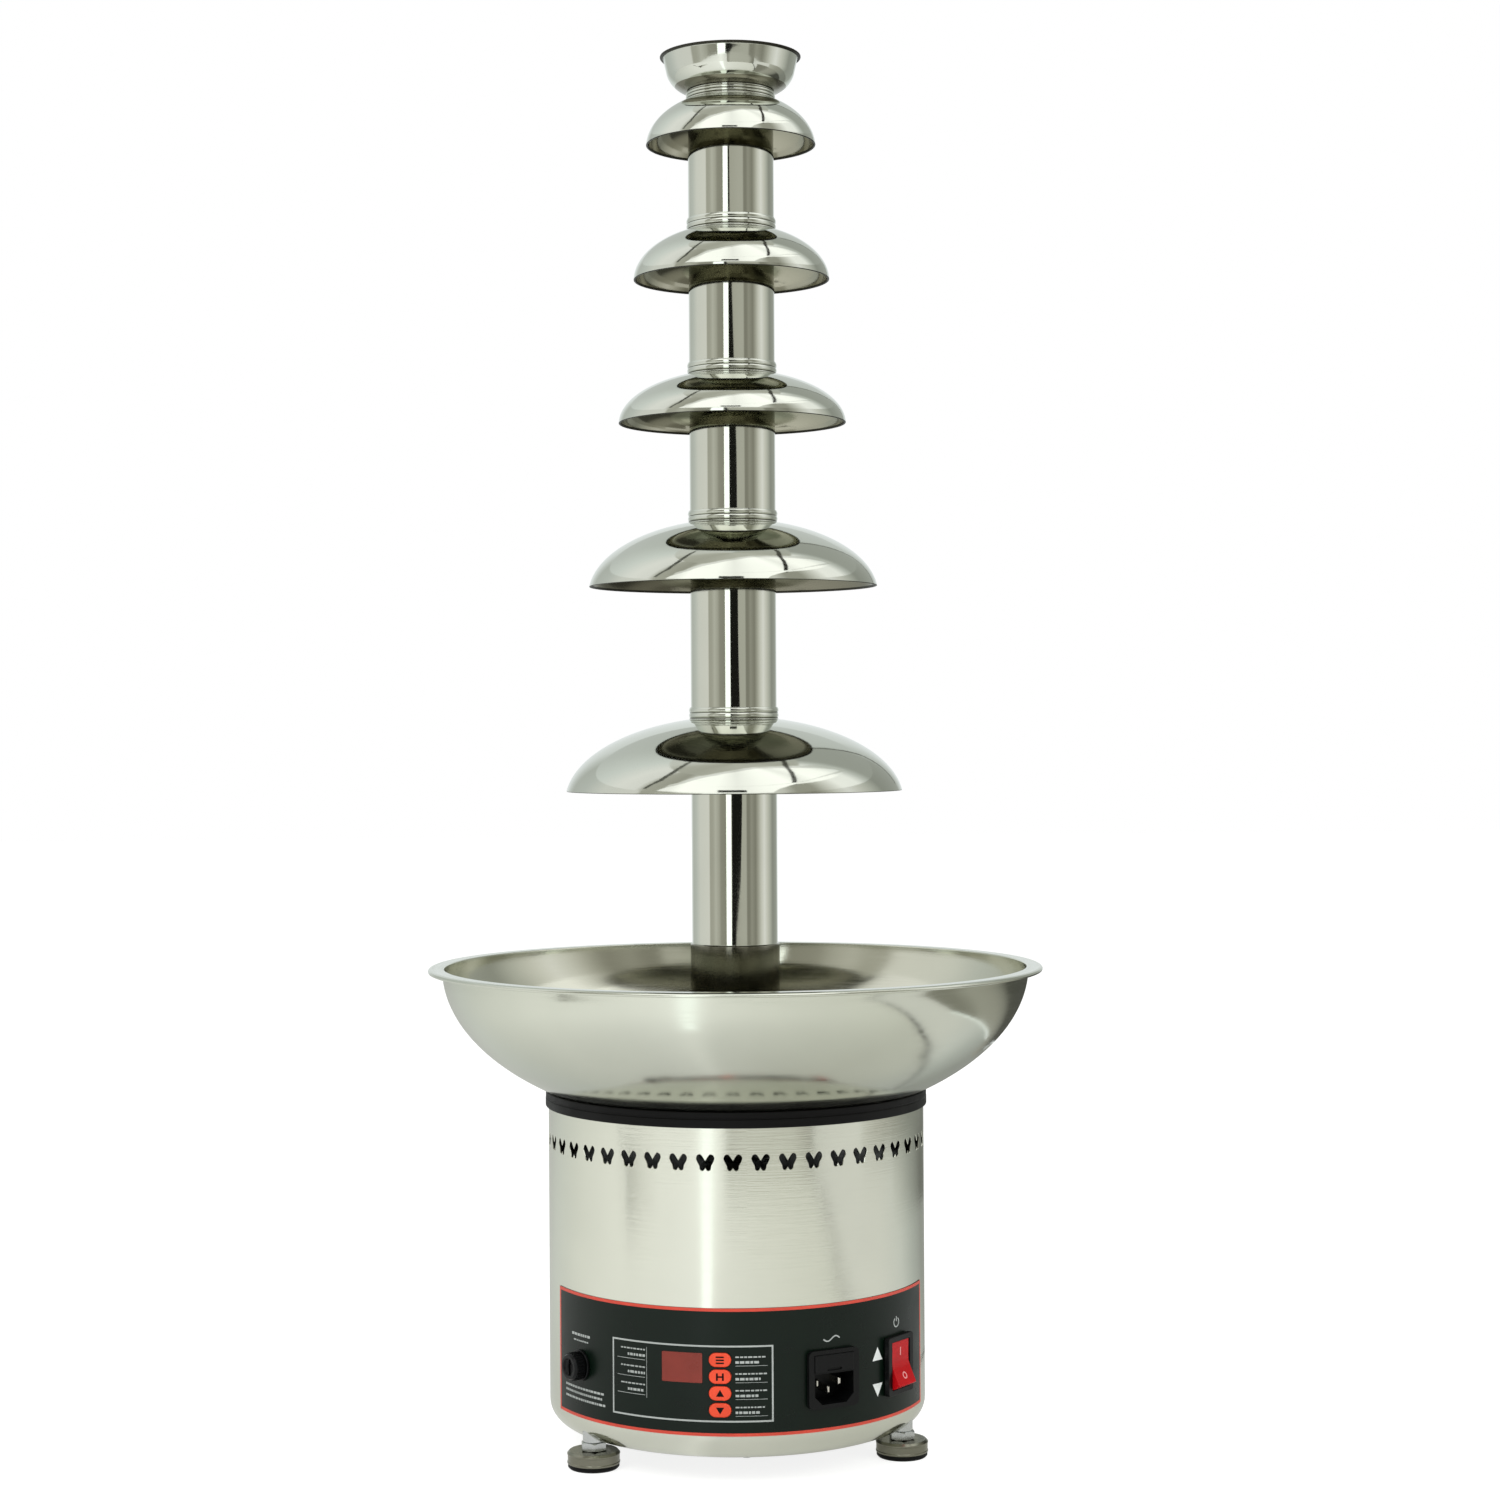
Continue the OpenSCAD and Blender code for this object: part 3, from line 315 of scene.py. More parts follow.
thread = []
for k in range(int((STUD_TOP - CUP_TOP - 1) / THREAD_PITCH)):
    root = CUP_TOP + 0.6 + k * THREAD_PITCH
    thread += [(STUD_R, root), (STUD_R - 0.55, root + THREAD_PITCH / 2)]
for number, angle in enumerate(FOOT_ANGLES, 1):
    place = foot_place(angle)
    cup = spun(f"foot_cup_{number}", [
        (PAD_PLUG_R + 0.1, PAD_TOP), (CUP_R - 0.3, PAD_TOP), (CUP_R, PAD_TOP + 0.4), (CUP_R, PAD_TOP + 1.1),
        (CUP_R - 0.25, PAD_TOP + 1.4), (CUP_R - 0.25, CUP_TOP - 2.2), (CUP_R, CUP_TOP - 1.9),
        (CUP_R, CUP_TOP - 1.2), (CUP_R - 1.2, CUP_TOP), (STUD_R, CUP_TOP), *thread,
        (STUD_R - 0.6, STUD_TOP), (0, STUD_TOP), (0, PAD_TOP + 2.4), (PAD_PLUG_R + 0.1, PAD_TOP + 2.4)],
        turned_steel_painted_dark, 0.3, 96, place)
    settle(cup, f"foot_{number}", "polished_steel", f"foot_{number}")
    pad = spun(f"foot_pad_rubber_{number}", [
        (0, 0), (CUP_R - 1.4, 0), (CUP_R - 0.4, 1.0), (CUP_R - 0.4, PAD_TOP), (PAD_PLUG_R, PAD_TOP),
        (PAD_PLUG_R, PAD_TOP + 2.3), (0, PAD_TOP + 2.3)], rubber, 0.4, 96, place)
    settle(pad, f"foot_{number}", "black_rubber", f"foot_pad_{number}")

nut_mesh = bpy.data.meshes.new("locknuts")
nut = bmesh.new()
flat_r = NUT_R * math.cos(math.pi / 6)
rings = []
# A radius of None follows the hexagon, chamfered below at height 1 and above at -1
for radius, height in (
        (STUD_R + 0.06, 0.4), (STUD_R + 0.5, 0), (flat_r * 0.97, 0), (None, 1), (None, -1),
        (flat_r * 0.97, NUT_H), (STUD_R + 0.5, NUT_H), (STUD_R + 0.06, NUT_H - 0.4)):
    ring = []
    for j in range(NUT_SIDES):
        turn = math.radians(j * 360 / NUT_SIDES)
        hex_r = flat_r / math.cos((turn + math.pi / 6) % (math.pi / 3) - math.pi / 6)
        drop = (hex_r - flat_r * 0.97) * math.tan(math.radians(30))
        r = hex_r if radius is None else radius
        z = (drop if height == 1 else NUT_H - drop) if radius is None else height
        ring.append(nut.verts.new((r * math.cos(turn) * MM, (r * math.sin(turn) - FOOT_CIRCLE_R) * MM,
                                   (DRUM_FOOT - NUT_H + z) * MM)))
    rings.append(ring)
for i, ring in enumerate(rings):
    after = rings[(i + 1) % len(rings)]
    for j in range(NUT_SIDES):
        k = (j + 1) % NUT_SIDES
        nut.faces.new((ring[j], after[j], after[k], ring[k]))
bmesh.ops.recalc_face_normals(nut, faces=nut.faces)
nut.to_mesh(nut_mesh)
nut.free()
smooth_shaded(nut_mesh)
nut_mesh.set_sharp_from_angle(angle=math.radians(24))
locknuts = placed("locknuts", nut_mesh)
ring_of(locknuts, 3, FOOT_ANGLES[0], 120, plated_steel)
settle(locknuts, "base", "plain_steel", "foot_locknuts")

bushes = spun("stud_bushes", [
    (STUD_R + 0.06, DRUM_FOOT), (BUSH_R, DRUM_FOOT), (BUSH_R, DRUM_FOOT + BUSH_H),
    (STUD_R + 0.06, DRUM_FOOT + BUSH_H)], plated_steel, 0.4, 64, Matrix.Translation((0, -FOOT_CIRCLE_R, 0)))
ring_of(bushes, 3, FOOT_ANGLES[0], 120, plated_steel)
settle(bushes, "base", "plain_steel", "foot_bushes")

# Base drum: stainless sheet rolled round and welded at the back, with a rounded bottom corner and
# flanges turned in at both ends. Its vents are butterflies cut by laser, and more cuts seat the panel.
DRUM_R = 107
DRUM_TOP = 193
CORNER_R = 12
WALL = 1
TOP_FLANGE_R = 96
BOTTOM_FLANGE_R = 84
VENT_COUNT = 45
VENT_Z = 174
VENT_HALF = 4.9
# Reach of the wing's edge at each angle from its middle, in half spans, from foot to head
WING = ((-90, 0.42), (-72, 0.8), (-50, 0.86), (-20, 0.68), (8, 0.84), (28, 1.13), (44, 1.24),
        (62, 1.08), (90, 0.22))
WING_CORNERS = (0, 6, 8)
SCREW_CIRCLE_R = 88.25
# Rolled sheet, brushed round and then polished: pale and a little green, with reflections drawn
# out upwards by the brush lines, which are 0.1 mm apart and drawn at 1 mm so that they show
drum_steel = stainless("brushed_stainless_drum", "#d6d8cb", 0.09, 0.19, 1.0, 0.05, 0.012)


def curve_through(points, corners, steps=4):
    """A smooth curve through points, with a sharp turn at each of the numbered corners."""
    result = []
    for i in range(len(points) - 1):
        p1, p2 = Vector(points[i]), Vector(points[i + 1])
        p0 = p1 if i in corners or i == 0 else Vector(points[i - 1])
        p3 = p2 if i + 1 in corners or i + 2 == len(points) else Vector(points[i + 2])
        for k in range(steps):
            t = k / steps
            result.append(0.5 * ((2 * p1) + (p2 - p0) * t + (2 * p0 - 5 * p1 + 4 * p2 - p3) * t * t
                                 + (3 * p1 - p0 - 3 * p2 + p3) * t ** 3))
    result.append(Vector(points[-1]))
    return result


def panel_frame(angle, z, r=0.0):
    """A place on the drum: x sideways, y up and z outwards, at an angle from the panel's middle."""
    a = math.radians(angle)
    return Matrix(((math.cos(a), 0, math.sin(a), r * math.sin(a)),
                   (math.sin(a), 0, -math.cos(a), -r * math.cos(a)), (0, 1, 0, z), (0, 0, 0, 1)))


def arc(x, y, radius, start, sweep, steps):
    """Points of an arc round a middle, from a start angle through a sweep, in degrees."""
    return [(x + radius * math.cos(a), y + radius * math.sin(a))
            for a in (math.radians(start + sweep * k / steps) for k in range(steps + 1))]


def grown(outline, by):
    """An anticlockwise outline moved outwards by a distance."""
    result = []
    for i, here in enumerate(outline):
        first = (here - outline[i - 1]).normalized()
        last = (outline[(i + 1) % len(outline)] - here).normalized()
        out = Vector((first.y + last.y, -first.x - last.x))
        out.normalize()
        result.append(here + out * by / max(0.5, out.dot(Vector((first.y, -first.x)))))
    return result


def prism(outline, low, high, place):
    """A straight block for lofted."""
    return outline, ((low, 0), (high, 0)), place


def lofted(name, blocks, finish=None):
    """Solids lofted upwards: each is an outline, its (height, growth) levels and its place."""
    points, faces = [], []
    for outline, levels, place in blocks:
        outline = [Vector(p) for p in outline]
        if sum(a.x * b.y - b.x * a.y for a, b in zip(outline, outline[1:] + outline[:1])) < 0:
            outline.reverse()
        n, base = len(outline), len(points)
        for z, by in levels:
            points += [place @ Vector((p.x, p.y, z)) * MM for p in (grown(outline, by) if by else outline)]
        faces.append(tuple(range(base + n - 1, base - 1, -1)))
        for i in range(len(levels) - 1):
            a = base + i * n
            faces += [(a + j, a + (j + 1) % n, a + n + (j + 1) % n, a + n + j) for j in range(n)]
        top = base + (len(levels) - 1) * n
        faces.append(tuple(range(top, top + n)))
    mesh = bpy.data.meshes.new(name)
    mesh.from_pydata(points, [], faces)
    if finish:
        mesh.materials.append(finish)
    return placed(name, mesh)


def carved(obj, tool, operation="DIFFERENCE"):
    """Takes a tool's shape out of an object, or adds it, and throws the tool away."""
    modifier = obj.modifiers.new("carve", "BOOLEAN")
    modifier.solver, modifier.operation, modifier.object = "EXACT", operation, tool
    plain(obj)
    bpy.data.objects.remove(tool)
    return obj


def rectangle(w, h, corner=0.0, steps=6):
    """A rectangle round the origin, with round corners."""
    if not corner:
        return [(-w / 2, -h / 2), (w / 2, -h / 2), (w / 2, h / 2), (-w / 2, h / 2)]
    result = []
    for cx, cy, start in ((1, -1, -90), (1, 1, 0), (-1, 1, 90), (-1, -1, 180)):
        result += arc(cx * (w / 2 - corner), cy * (h / 2 - corner), corner, start, 90, steps)
    return result


def circle(r, steps=48):
    return [(r * math.cos(2 * math.pi * k / steps), r * math.sin(2 * math.pi * k / steps))
            for k in range(steps)]


def turned_normals(obj, arc_r=0.0, arc_z=0.0):
    """Gives the faces that lie on a wall round Z, or on a corner arc below it, the turned normals."""
    mesh = obj.data
    normals = [None] * len(mesh.loops)
    for face in mesh.polygons:
        face.use_smooth = True
        middle = Vector((face.center.x, face.center.y, 0)).normalized()
        on_wall = abs(face.normal.dot(middle)) > 0.9994
        arc_middle = middle * arc_r * MM + Vector((0, 0, arc_z * MM))
        bent = (face.center - arc_middle).normalized()
        on_arc = arc_r and face.center.z < arc_z * MM and abs(face.normal.dot(bent)) > 0.995 and not on_wall
        for loop in face.loop_indices:
            p = mesh.vertices[mesh.loops[loop].vertex_index].co
            out = Vector((p.x, p.y, 0)).normalized()
            normal = face.normal.copy()
            if on_wall:
                normal = out if face.normal.dot(out) > 0 else -out
            elif on_arc:
                away = (p - out * arc_r * MM - Vector((0, 0, arc_z * MM))).normalized()
                normal = away if face.normal.dot(away) > 0 else -away
            normals[loop] = normal
    mesh.normals_split_custom_set(normals)
    return obj


def lined(obj, finish, is_inside):
    """Gives the faces on one side of a piece a finish of their own."""
    obj.data.materials.append(finish)
    for face in obj.data.polygons:
        if is_inside(face.center / MM, face.normal):
            face.material_index = len(obj.data.materials) - 1


# The display's angle from the panel's middle, its height, and its width and height
DISPLAY = (-19.15, 64.75, 22.6, 16.0)
KEY_ANGLE = -8
KEY_Z = (69.35, 60.4, 51.45, 42.5)
KEY_W, KEY_H = 12, 7.5
SOCKET_Z = 56.8
INLET_ANGLE = 25.2
INLET_HOLE = (27.6, 28.6)
SWITCH_ANGLE = 51.5
SWITCH_HOLE = (21.2, 29.0)
FUSE_ANGLE = -56
FUSE_Z = 57.4
FUSE_HOLE_R = 6.1
HOLE_FROM, HOLE_TO = 101, 112


def oval(w, h, steps=14):
    right = arc((w - h) / 2, 0, h / 2, -90, 180, steps)
    return right + [(-x, -y) for x, y in right]


def panel_cutters():
    """The holes that the drum and the printed film share."""
    angle, z, w, h = DISPLAY
    holes = [(rectangle(w + 0.2, h + 0.2), angle, z)]
    holes += [(oval(KEY_W + 0.6, KEY_H + 0.6), KEY_ANGLE, z) for z in KEY_Z]
    holes += [(rectangle(*INLET_HOLE), INLET_ANGLE, SOCKET_Z),
              (rectangle(*SWITCH_HOLE), SWITCH_ANGLE, SOCKET_Z),
              (circle(FUSE_HOLE_R), FUSE_ANGLE, FUSE_Z)]
    return lofted("panel_holes", [prism(outline, HOLE_FROM, HOLE_TO, panel_frame(angle, z))
                                  for outline, angle, z in holes])


# The mesh is turned by part of a step, so that no edge of a cut falls on one of its own
DRUM_TURN = Matrix.Rotation(math.radians(0.37), 4, "Z")
corner_mid = (DRUM_R - CORNER_R, DRUM_FOOT + CORNER_R)


def corner_arc(radius):
    return arc(*corner_mid, radius, -90, 90, 12)


wall_rows = list(range(40, DRUM_TOP - 5, 20))
drum = spun("base_drum", [
    (BOTTOM_FLANGE_R, DRUM_FOOT), *corner_arc(CORNER_R), *[(DRUM_R, z) for z in wall_rows],
    (DRUM_R, DRUM_TOP), (TOP_FLANGE_R, DRUM_TOP), (TOP_FLANGE_R, DRUM_TOP - WALL),
    (DRUM_R - WALL, DRUM_TOP - WALL), *[(DRUM_R - WALL, z) for z in reversed(wall_rows)],
    *reversed(corner_arc(CORNER_R - WALL)), (BOTTOM_FLANGE_R, DRUM_FOOT + WALL)], drum_steel, 0.25, 360,
    DRUM_TURN)
wing_points = [(VENT_HALF * r * math.cos(math.radians(a)), VENT_HALF * r * math.sin(math.radians(a)))
               for a, r in WING]
right_wing = curve_through(wing_points, WING_CORNERS, 3)
wing_outline = right_wing + [Vector((-p.x, p.y)) for p in reversed(right_wing[1:-1])]
vents = lofted("vents", [(wing_outline, ((104, 0), (DRUM_R - 0.3, 0), (DRUM_R + 0.1, 0.35), (109, 0.35)),
                          panel_frame(0, VENT_Z))])
ring_of(vents, VENT_COUNT, 180 / VENT_COUNT, 360 / VENT_COUNT, drum_steel)
carved(drum, vents)
carved(drum, panel_cutters())
carved(drum, lofted("bush_holes", [
    prism(circle(BUSH_R + 0.1), DRUM_FOOT - 1, DRUM_FOOT + BUSH_H, foot_place(a)) for a in FOOT_ANGLES]))
turned_normals(drum, *corner_mid)
# The drum's inner face is given a dark grey steel: painted shade, so that the inside looks dark through the
# vents
drum_inside = stainless("drum_inside_painted_shade", "#4b4d48", 0.4, 0.6, 0.8, 0.03, 0.004)
lined(drum, drum_inside, lambda p, n: Vector((p.x, p.y)).length < DRUM_R - 0.6 and
      n.x * p.x + n.y * p.y < 1 and p.z > DRUM_FOOT + 0.5 and p.z < DRUM_TOP - 0.2)
settle(drum, "base", "polished_steel", "base_shell")

# Bottom plate and screws: the plate lies in the drum's bottom flange, slotted for cooling air, and
# six plated pan head screws with a cross recess hold it. Four more fix the gearbox to its plate.
SCREW_HEAD_R = 3.6
SCREW_HEAD_H = 2.2
SCREW_R = 2.0
GEARBOX_PLATE_TOP = 160
GEARBOX_SCREW_R = 24


def pan_screw(name, length):
    dome = [(SCREW_HEAD_R * math.cos(a), -SCREW_HEAD_H + SCREW_HEAD_H * 0.55 * (1 - math.sin(a)))
            for a in (math.radians(90 - 15 * k) for k in range(7))]
    screw = spun(name, [(0, -SCREW_HEAD_H), *dome[1:], (SCREW_HEAD_R, 0), (SCREW_R, 0), (SCREW_R, length),
                        (0, length)], plated_steel, 0.15, 40)
    for turn in (0, 90):
        carved(screw, lofted("recess", [(rectangle(3.6, 0.9), ((-4, 0), (-0.9, -0.1)),
                                         Matrix.Rotation(math.radians(turn), 4, "Z"))]))
    screw.data.set_sharp_from_angle(angle=math.radians(35))
    return screw


bottom_screws = pan_screw("bottom_screws", 7)
bottom_screws.data.transform(Matrix.Translation((SCREW_CIRCLE_R * MM, 0, DRUM_FOOT * MM)))
ring_of(bottom_screws, 6, 30, 60, plated_steel)
settle(bottom_screws, "base", "plain_steel", "chassis_screws")
gearbox_screws = pan_screw("gearbox_screws", 10)
gearbox_screws.data.transform(Matrix.Rotation(math.pi, 4, "X"))
gearbox_screws.data.transform(Matrix.Translation((GEARBOX_SCREW_R * MM, 0, GEARBOX_PLATE_TOP * MM)))
ring_of(gearbox_screws, 4, 45, 90, plated_steel)
settle(gearbox_screws, "base", "plain_steel")


def dress(finish, *names):
    """Gives solids that keep their own shape a finish."""
    for name in names:
        for place in nodes[name].material_slots:
            place.material = finish


# Cold rolled stainless sheet with its mill finish: grey, even and only softly shiny
mill_sheet = stainless("mill_finish_sheet", "#6f716c", 0.34, 0.5, 0.8, 0.03, 0.004)
dress(mill_sheet, "bottom_plate", "motor_plate", "support_plate")

# Drive inside the drum: a painted motor with a cast gearbox hangs from its plate, and a turned
# coupling joins its shaft to the drive shaft, which runs in a bronze bush and a lip seal.
# Baked enamel on the motor's can: black, smooth and a little glossy
motor_enamel = moulded("baked_motor_enamel", "#1b1c1f", 0.38, 0.8, 0.006)
# Sand cast aluminium: pale grey with a coarse, dull grain
cast_aluminium = moulded("cast_aluminium", "#8d9093", 0.48, 1.2, 0.03, metallic=1.0)
# Sintered bronze, soaked in oil: brown and soft in its shine
bronze = moulded("sintered_bronze", "#8f6a3c", 0.4, 0.4, 0.01, metallic=1.0)
dress(motor_enamel, "motor")
dress(cast_aluminium, "gearbox", "heater_ring")
dress(bronze, "shaft_bush")
dress(rubber, "shaft_seal")
dress(turned_steel_painted_dark, "gearbox_shaft", "shaft_coupling", "drive_shaft", "bowl_hub", "hub_nut")

# Heating under the bowl's floor: a cast ring with its element, felt below it, and two probes
# that touch the floor. All of it is held by the support plate.
# Ceramic fibre felt: cream, dry and without any shine
felt = moulded("ceramic_felt", "#b9ae8c", 0.9, 1.0, 0.2, spread=0.05)
dress(felt, "heater_insulation")
dress(plated_steel, "temperature_sensor", "thermal_cutout")

# Boards and leads: the control board stands behind the display on nylon spacers, and the power
# board lies on the bottom plate. Insulated leads join the inlet, switch, fuse, motor and heater.
# Glass epoxy board under solder resist: a glossy dark green
solder_resist = moulded("solder_resist_board", "#123d22", 0.3, 0.6, 0.01)
# Silicone insulation on the leads: red and satin
lead_silicone = moulded("silicone_insulation", "#7c1512", 0.5, 0.5, 0.01)
# Moulded polyamide: off white and slightly waxy
white_nylon = moulded("moulded_polyamide", "#d9d8cf", 0.42, 0.6, 0.01)
dress(solder_resist, "control_board", "power_board")
dress(lead_silicone, "wiring")
dress(white_nylon, "board_spacers")

# Printed film: polyester glued round the drum, black from behind with a red border, and pale
# lines and marks. Its rows of words are left as plain dashes of like size and weight.
FILM_IN, FILM_OUT = 107.05, 107.45
FILM_HALF_ANGLE = 69.65
FILM_LOW, FILM_HIGH = 28.4, 96.8
BORDER = 1.7
INK = 0.03
# Polyester with a matt hard coat: near black, and a little green where light grazes it
film_coat = moulded("hard_coated_polyester", "#07150d", 0.3, 0.35, 0.003, spread=0.05, gloss=0.21)
# Screen printed inks: even, matt and opaque
red_ink = moulded("red_screen_ink", "#d2402c", 0.45, 0.4, 0.002)
pale_ink = moulded("pale_screen_ink", "#aeb4b1", 0.45, 0.4, 0.002)
white_ink = moulded("white_screen_ink", "#e6ebe8", 0.45, 0.4, 0.002)
black_ink = moulded("black_screen_ink", "#0c0a0a", 0.45, 0.4, 0.002, gloss=0.1)
# Moulded PBT of the inlet, switch and fuse holder: black and satin, with a fine spark grain
black_pbt = moulded("moulded_black_pbt", "#0a0b0c", 0.34, 0.35, 0.006, gloss=0.2)


def bent(name, shapes, finish, low, high, column=1.5):
    """Flat shapes, as (way round the drum, height), bent round it between two radii."""
    flat = bmesh.new()
    for shape in shapes:
        flat.faces.new([flat.verts.new((x, y, 0)) for x, y in shape])
    reach = [v.co.x for v in flat.verts]
    for k in range(math.ceil(min(reach) / column), math.ceil(max(reach) / column)):
        bmesh.ops.bisect_plane(flat, geom=flat.verts[:] + flat.edges[:] + flat.faces[:],
                               plane_co=(k * column, 0, 0), plane_no=(1, 0, 0))
    moved = bmesh.ops.extrude_face_region(flat, geom=flat.faces[:])["geom"]
    for v in moved:
        if isinstance(v, bmesh.types.BMVert):
            v.co.z = high - low
    for v in flat.verts:
        turn, r = v.co.x / FILM_OUT, low + v.co.z
        v.co = Vector((r * math.sin(turn), -r * math.cos(turn), v.co.y)) * MM
    bmesh.ops.recalc_face_normals(flat, faces=flat.faces)
    mesh = bpy.data.meshes.new(name)
    flat.to_mesh(mesh)
    flat.free()
    mesh.materials.append(finish)
    return turned_normals(placed(name, mesh))


def way(angle):
    """The way round the film, in mm, of an angle from the panel's middle."""
    return math.radians(angle) * FILM_OUT


def bar(x0, y0, x1, y1):
    return [(x0, y0), (x1, y0), (x1, y1), (x0, y1)]


def frame_bars(x0, y0, x1, y1, width):
    """A rectangle's outline as four bars inside it."""
    return [bar(x0, y0, x1, y0 + width), bar(x0, y1 - width, x1, y1),
            bar(x0, y0 + width, x0 + width, y1 - width), bar(x1 - width, y0 + width, x1, y1 - width)]


def printed(name, shapes, ink):
    """Ink on the film's face."""
    settle(bent(name, shapes, ink, FILM_OUT - INK, FILM_OUT + INK), "base", "panel_film")


edge_x = way(FILM_HALF_ANGLE)
film = bent("panel_film", [bar(-edge_x, FILM_LOW, edge_x, FILM_HIGH)], film_coat, FILM_IN, FILM_OUT)
carved(film, panel_cutters())
turned_normals(film)
settle(film, "base", "panel_film", "panel_overlay")

printed("panel_border", frame_bars(-edge_x, FILM_LOW, edge_x, FILM_HIGH, BORDER), red_ink)
printed("display_frame_line", frame_bars(way(-42), 36, way(7.3), 77, 0.9), pale_ink)

random.seed(7)


def dashes(x0, x1, z, height):
    """A row of short dashes, as long as words would be."""
    row, x = [], x0
    while x < x1 - 0.8:
        length = min(random.uniform(1.0, 2.6), x1 - x)
        row.append(bar(x, z - height / 2, x + length, z + height / 2))
        x += length + 0.55
    return row


marks = []
left, right = way(-40.2), way(-30.6)
for z in (72.4, 63.0, 53.6):
    marks += dashes(left + 2.5, right, z, 0.75) + dashes(left + 7, right, z - 3.2, 1.3)
    marks.append(bar(left, z - 5.6, right, z - 5.35))
marks.append(bar(right + 0.9, 46.6, right + 1.1, 74.0))
for z in KEY_Z:
    marks += dashes(way(-3.6), way(5.4), z + 1.5, 0.75) + dashes(way(-3.6), way(3.6), z - 1.3, 1.3)
    marks.append(bar(way(-3.6), z - 3.3, way(5.6), z - 3.1))
marks += dashes(way(-61), way(-51.5), 73.8, 1.4) + dashes(way(-60), way(-52.5), 70.6, 0.8)
for z, x1 in ((44.5, -45.2), (41.6, -46.4), (38.4, -44.8)):
    marks += dashes(way(-65), way(x1), z, 1.2)
printed("panel_dashes", marks, pale_ink)

MARK_X = way(42.3)
printed("switch_triangles", [
    [(MARK_X - 4.0, 61.6), (MARK_X + 4.0, 61.6), (MARK_X, 68.8)],
    [(MARK_X - 4.0, 49.0), (MARK_X, 41.8), (MARK_X + 4.0, 49.0)]], white_ink)

# Above the inlet a wave for alternating current, above the switch a ring with a stroke
wave = [(way(INLET_ANGLE) + 5 * t, 77.8 + 1.3 * math.sin(math.pi * t))
        for t in (k / 10 for k in range(-10, 11))]
ring_mid = (way(SWITCH_ANGLE), 79.6)
power_ring = [(ring_mid[0] + 2.5 * math.sin(a), ring_mid[1] + 2.5 * math.cos(a))
              for a in (math.radians(35 + 290 * k / 24) for k in range(25))]


def stroke(path, width):
    """The quads of a line of even width along a path."""
    result = []
    for (x0, y0), (x1, y1) in zip(path, path[1:]):
        length = math.hypot(x1 - x0, y1 - y0)
        nx, ny = -(y1 - y0) / length * width / 2, (x1 - x0) / length * width / 2
        result.append([(x0 + nx, y0 + ny), (x0 - nx, y0 - ny), (x1 - nx, y1 - ny), (x1 + nx, y1 + ny)])
    return result


printed("inlet_and_switch_signs", stroke(wave, 0.7) + stroke(power_ring, 0.7)
        + [bar(ring_mid[0] - 0.35, ring_mid[1] + 0.4, ring_mid[0] + 0.35, ring_mid[1] + 3.2)], pale_ink)

# Display: a red acrylic window let into the film, flush with it, with the digit module behind.
# It is dark when the fountain is off, so it shows only its own colour.
# Tinted acrylic over a pale module: brick red, smooth and even
red_acrylic = moulded("tinted_acrylic", "#873a31", 0.3, 1.5, 0.002, spread=0.04, gloss=0.2)
angle, z, w, h = DISPLAY
window = bent("red_window", [[(way(angle) + x, z + y) for x, y in rectangle(w, h, 0.5, 2)]],
              red_acrylic, 105.5, FILM_OUT)
settle(window, "base", "display_red", "display_window")
dress(black_pbt, "display_module")

# Keys: four moulded caps that come through the film, each with a printed sign on its face.
# They press in on the switches of the board behind.
KEY_FRONT = 108.25
KEY_FLANGE = 104.3
# Moulded silicone, pad printed: orange red and satin
key_silicone = moulded("moulded_silicone_key", "#ec4f31", 0.4, 0.4, 0.004, gloss=0.25)


def smooth_solid(obj, bevel=0.0, angle=35):
    """Rounds a solid's edges and keeps its flat faces flat."""
    mesh = obj.data
    smooth_shaded(mesh)
    if bevel:
        rounding = obj.modifiers.new("edges", "BEVEL")
        rounding.width, rounding.segments = bevel * MM, 2
        rounding.limit_method, rounding.angle_limit = "ANGLE", math.radians(angle)
        rounding.miter_outer = "MITER_ARC"
    else:
        mesh.set_sharp_from_angle(angle=math.radians(angle))
    weighted = obj.modifiers.new("normals", "WEIGHTED_NORMAL")
    weighted.keep_sharp = True
    return plain(obj)


def sign_of(number):
    if number == 1:
        return [bar(-2.2, y, 2.2, y + 0.8) for y in (-2.0, -0.4, 1.2)]
    if number == 2:
        return [bar(-2.1, -2.0, -1.1, 2.0), bar(1.1, -2.0, 2.1, 2.0), bar(-1.1, -0.45, 1.1, 0.45)]
    tip = 2.1 if number == 3 else -2.1
    return [[(-2.2, -tip * 0.75), (2.2, -tip * 0.75), (0, tip)]]


for number, z in enumerate(KEY_Z, 1):
    place = panel_frame(KEY_ANGLE, z)
    cap = lofted(f"key_cap_{number}", [
        (oval(KEY_W, KEY_H), ((KEY_FLANGE, 0.25), (KEY_FLANGE + 1, 0.25), (KEY_FLANGE + 1.05, 0),
                              (KEY_FRONT - 0.5, 0), (KEY_FRONT - 0.22, -0.12), (KEY_FRONT - 0.06, -0.35),
                              (KEY_FRONT, -0.75)), place),
        (circle(2), ((101, 0), (KEY_FLANGE + 0.2, 0)), place)], key_silicone)
    smooth_solid(cap, 0, 40)
    settle(cap, f"key_{number}", "key_orange", f"key_{number}")
    sign = lofted(f"key_sign_{number}", [prism(shape, KEY_FRONT - 0.05, KEY_FRONT + 0.04, place)
                                         for shape in sign_of(number)], black_ink)
    settle(sign, f"key_{number}", "black_plastic")

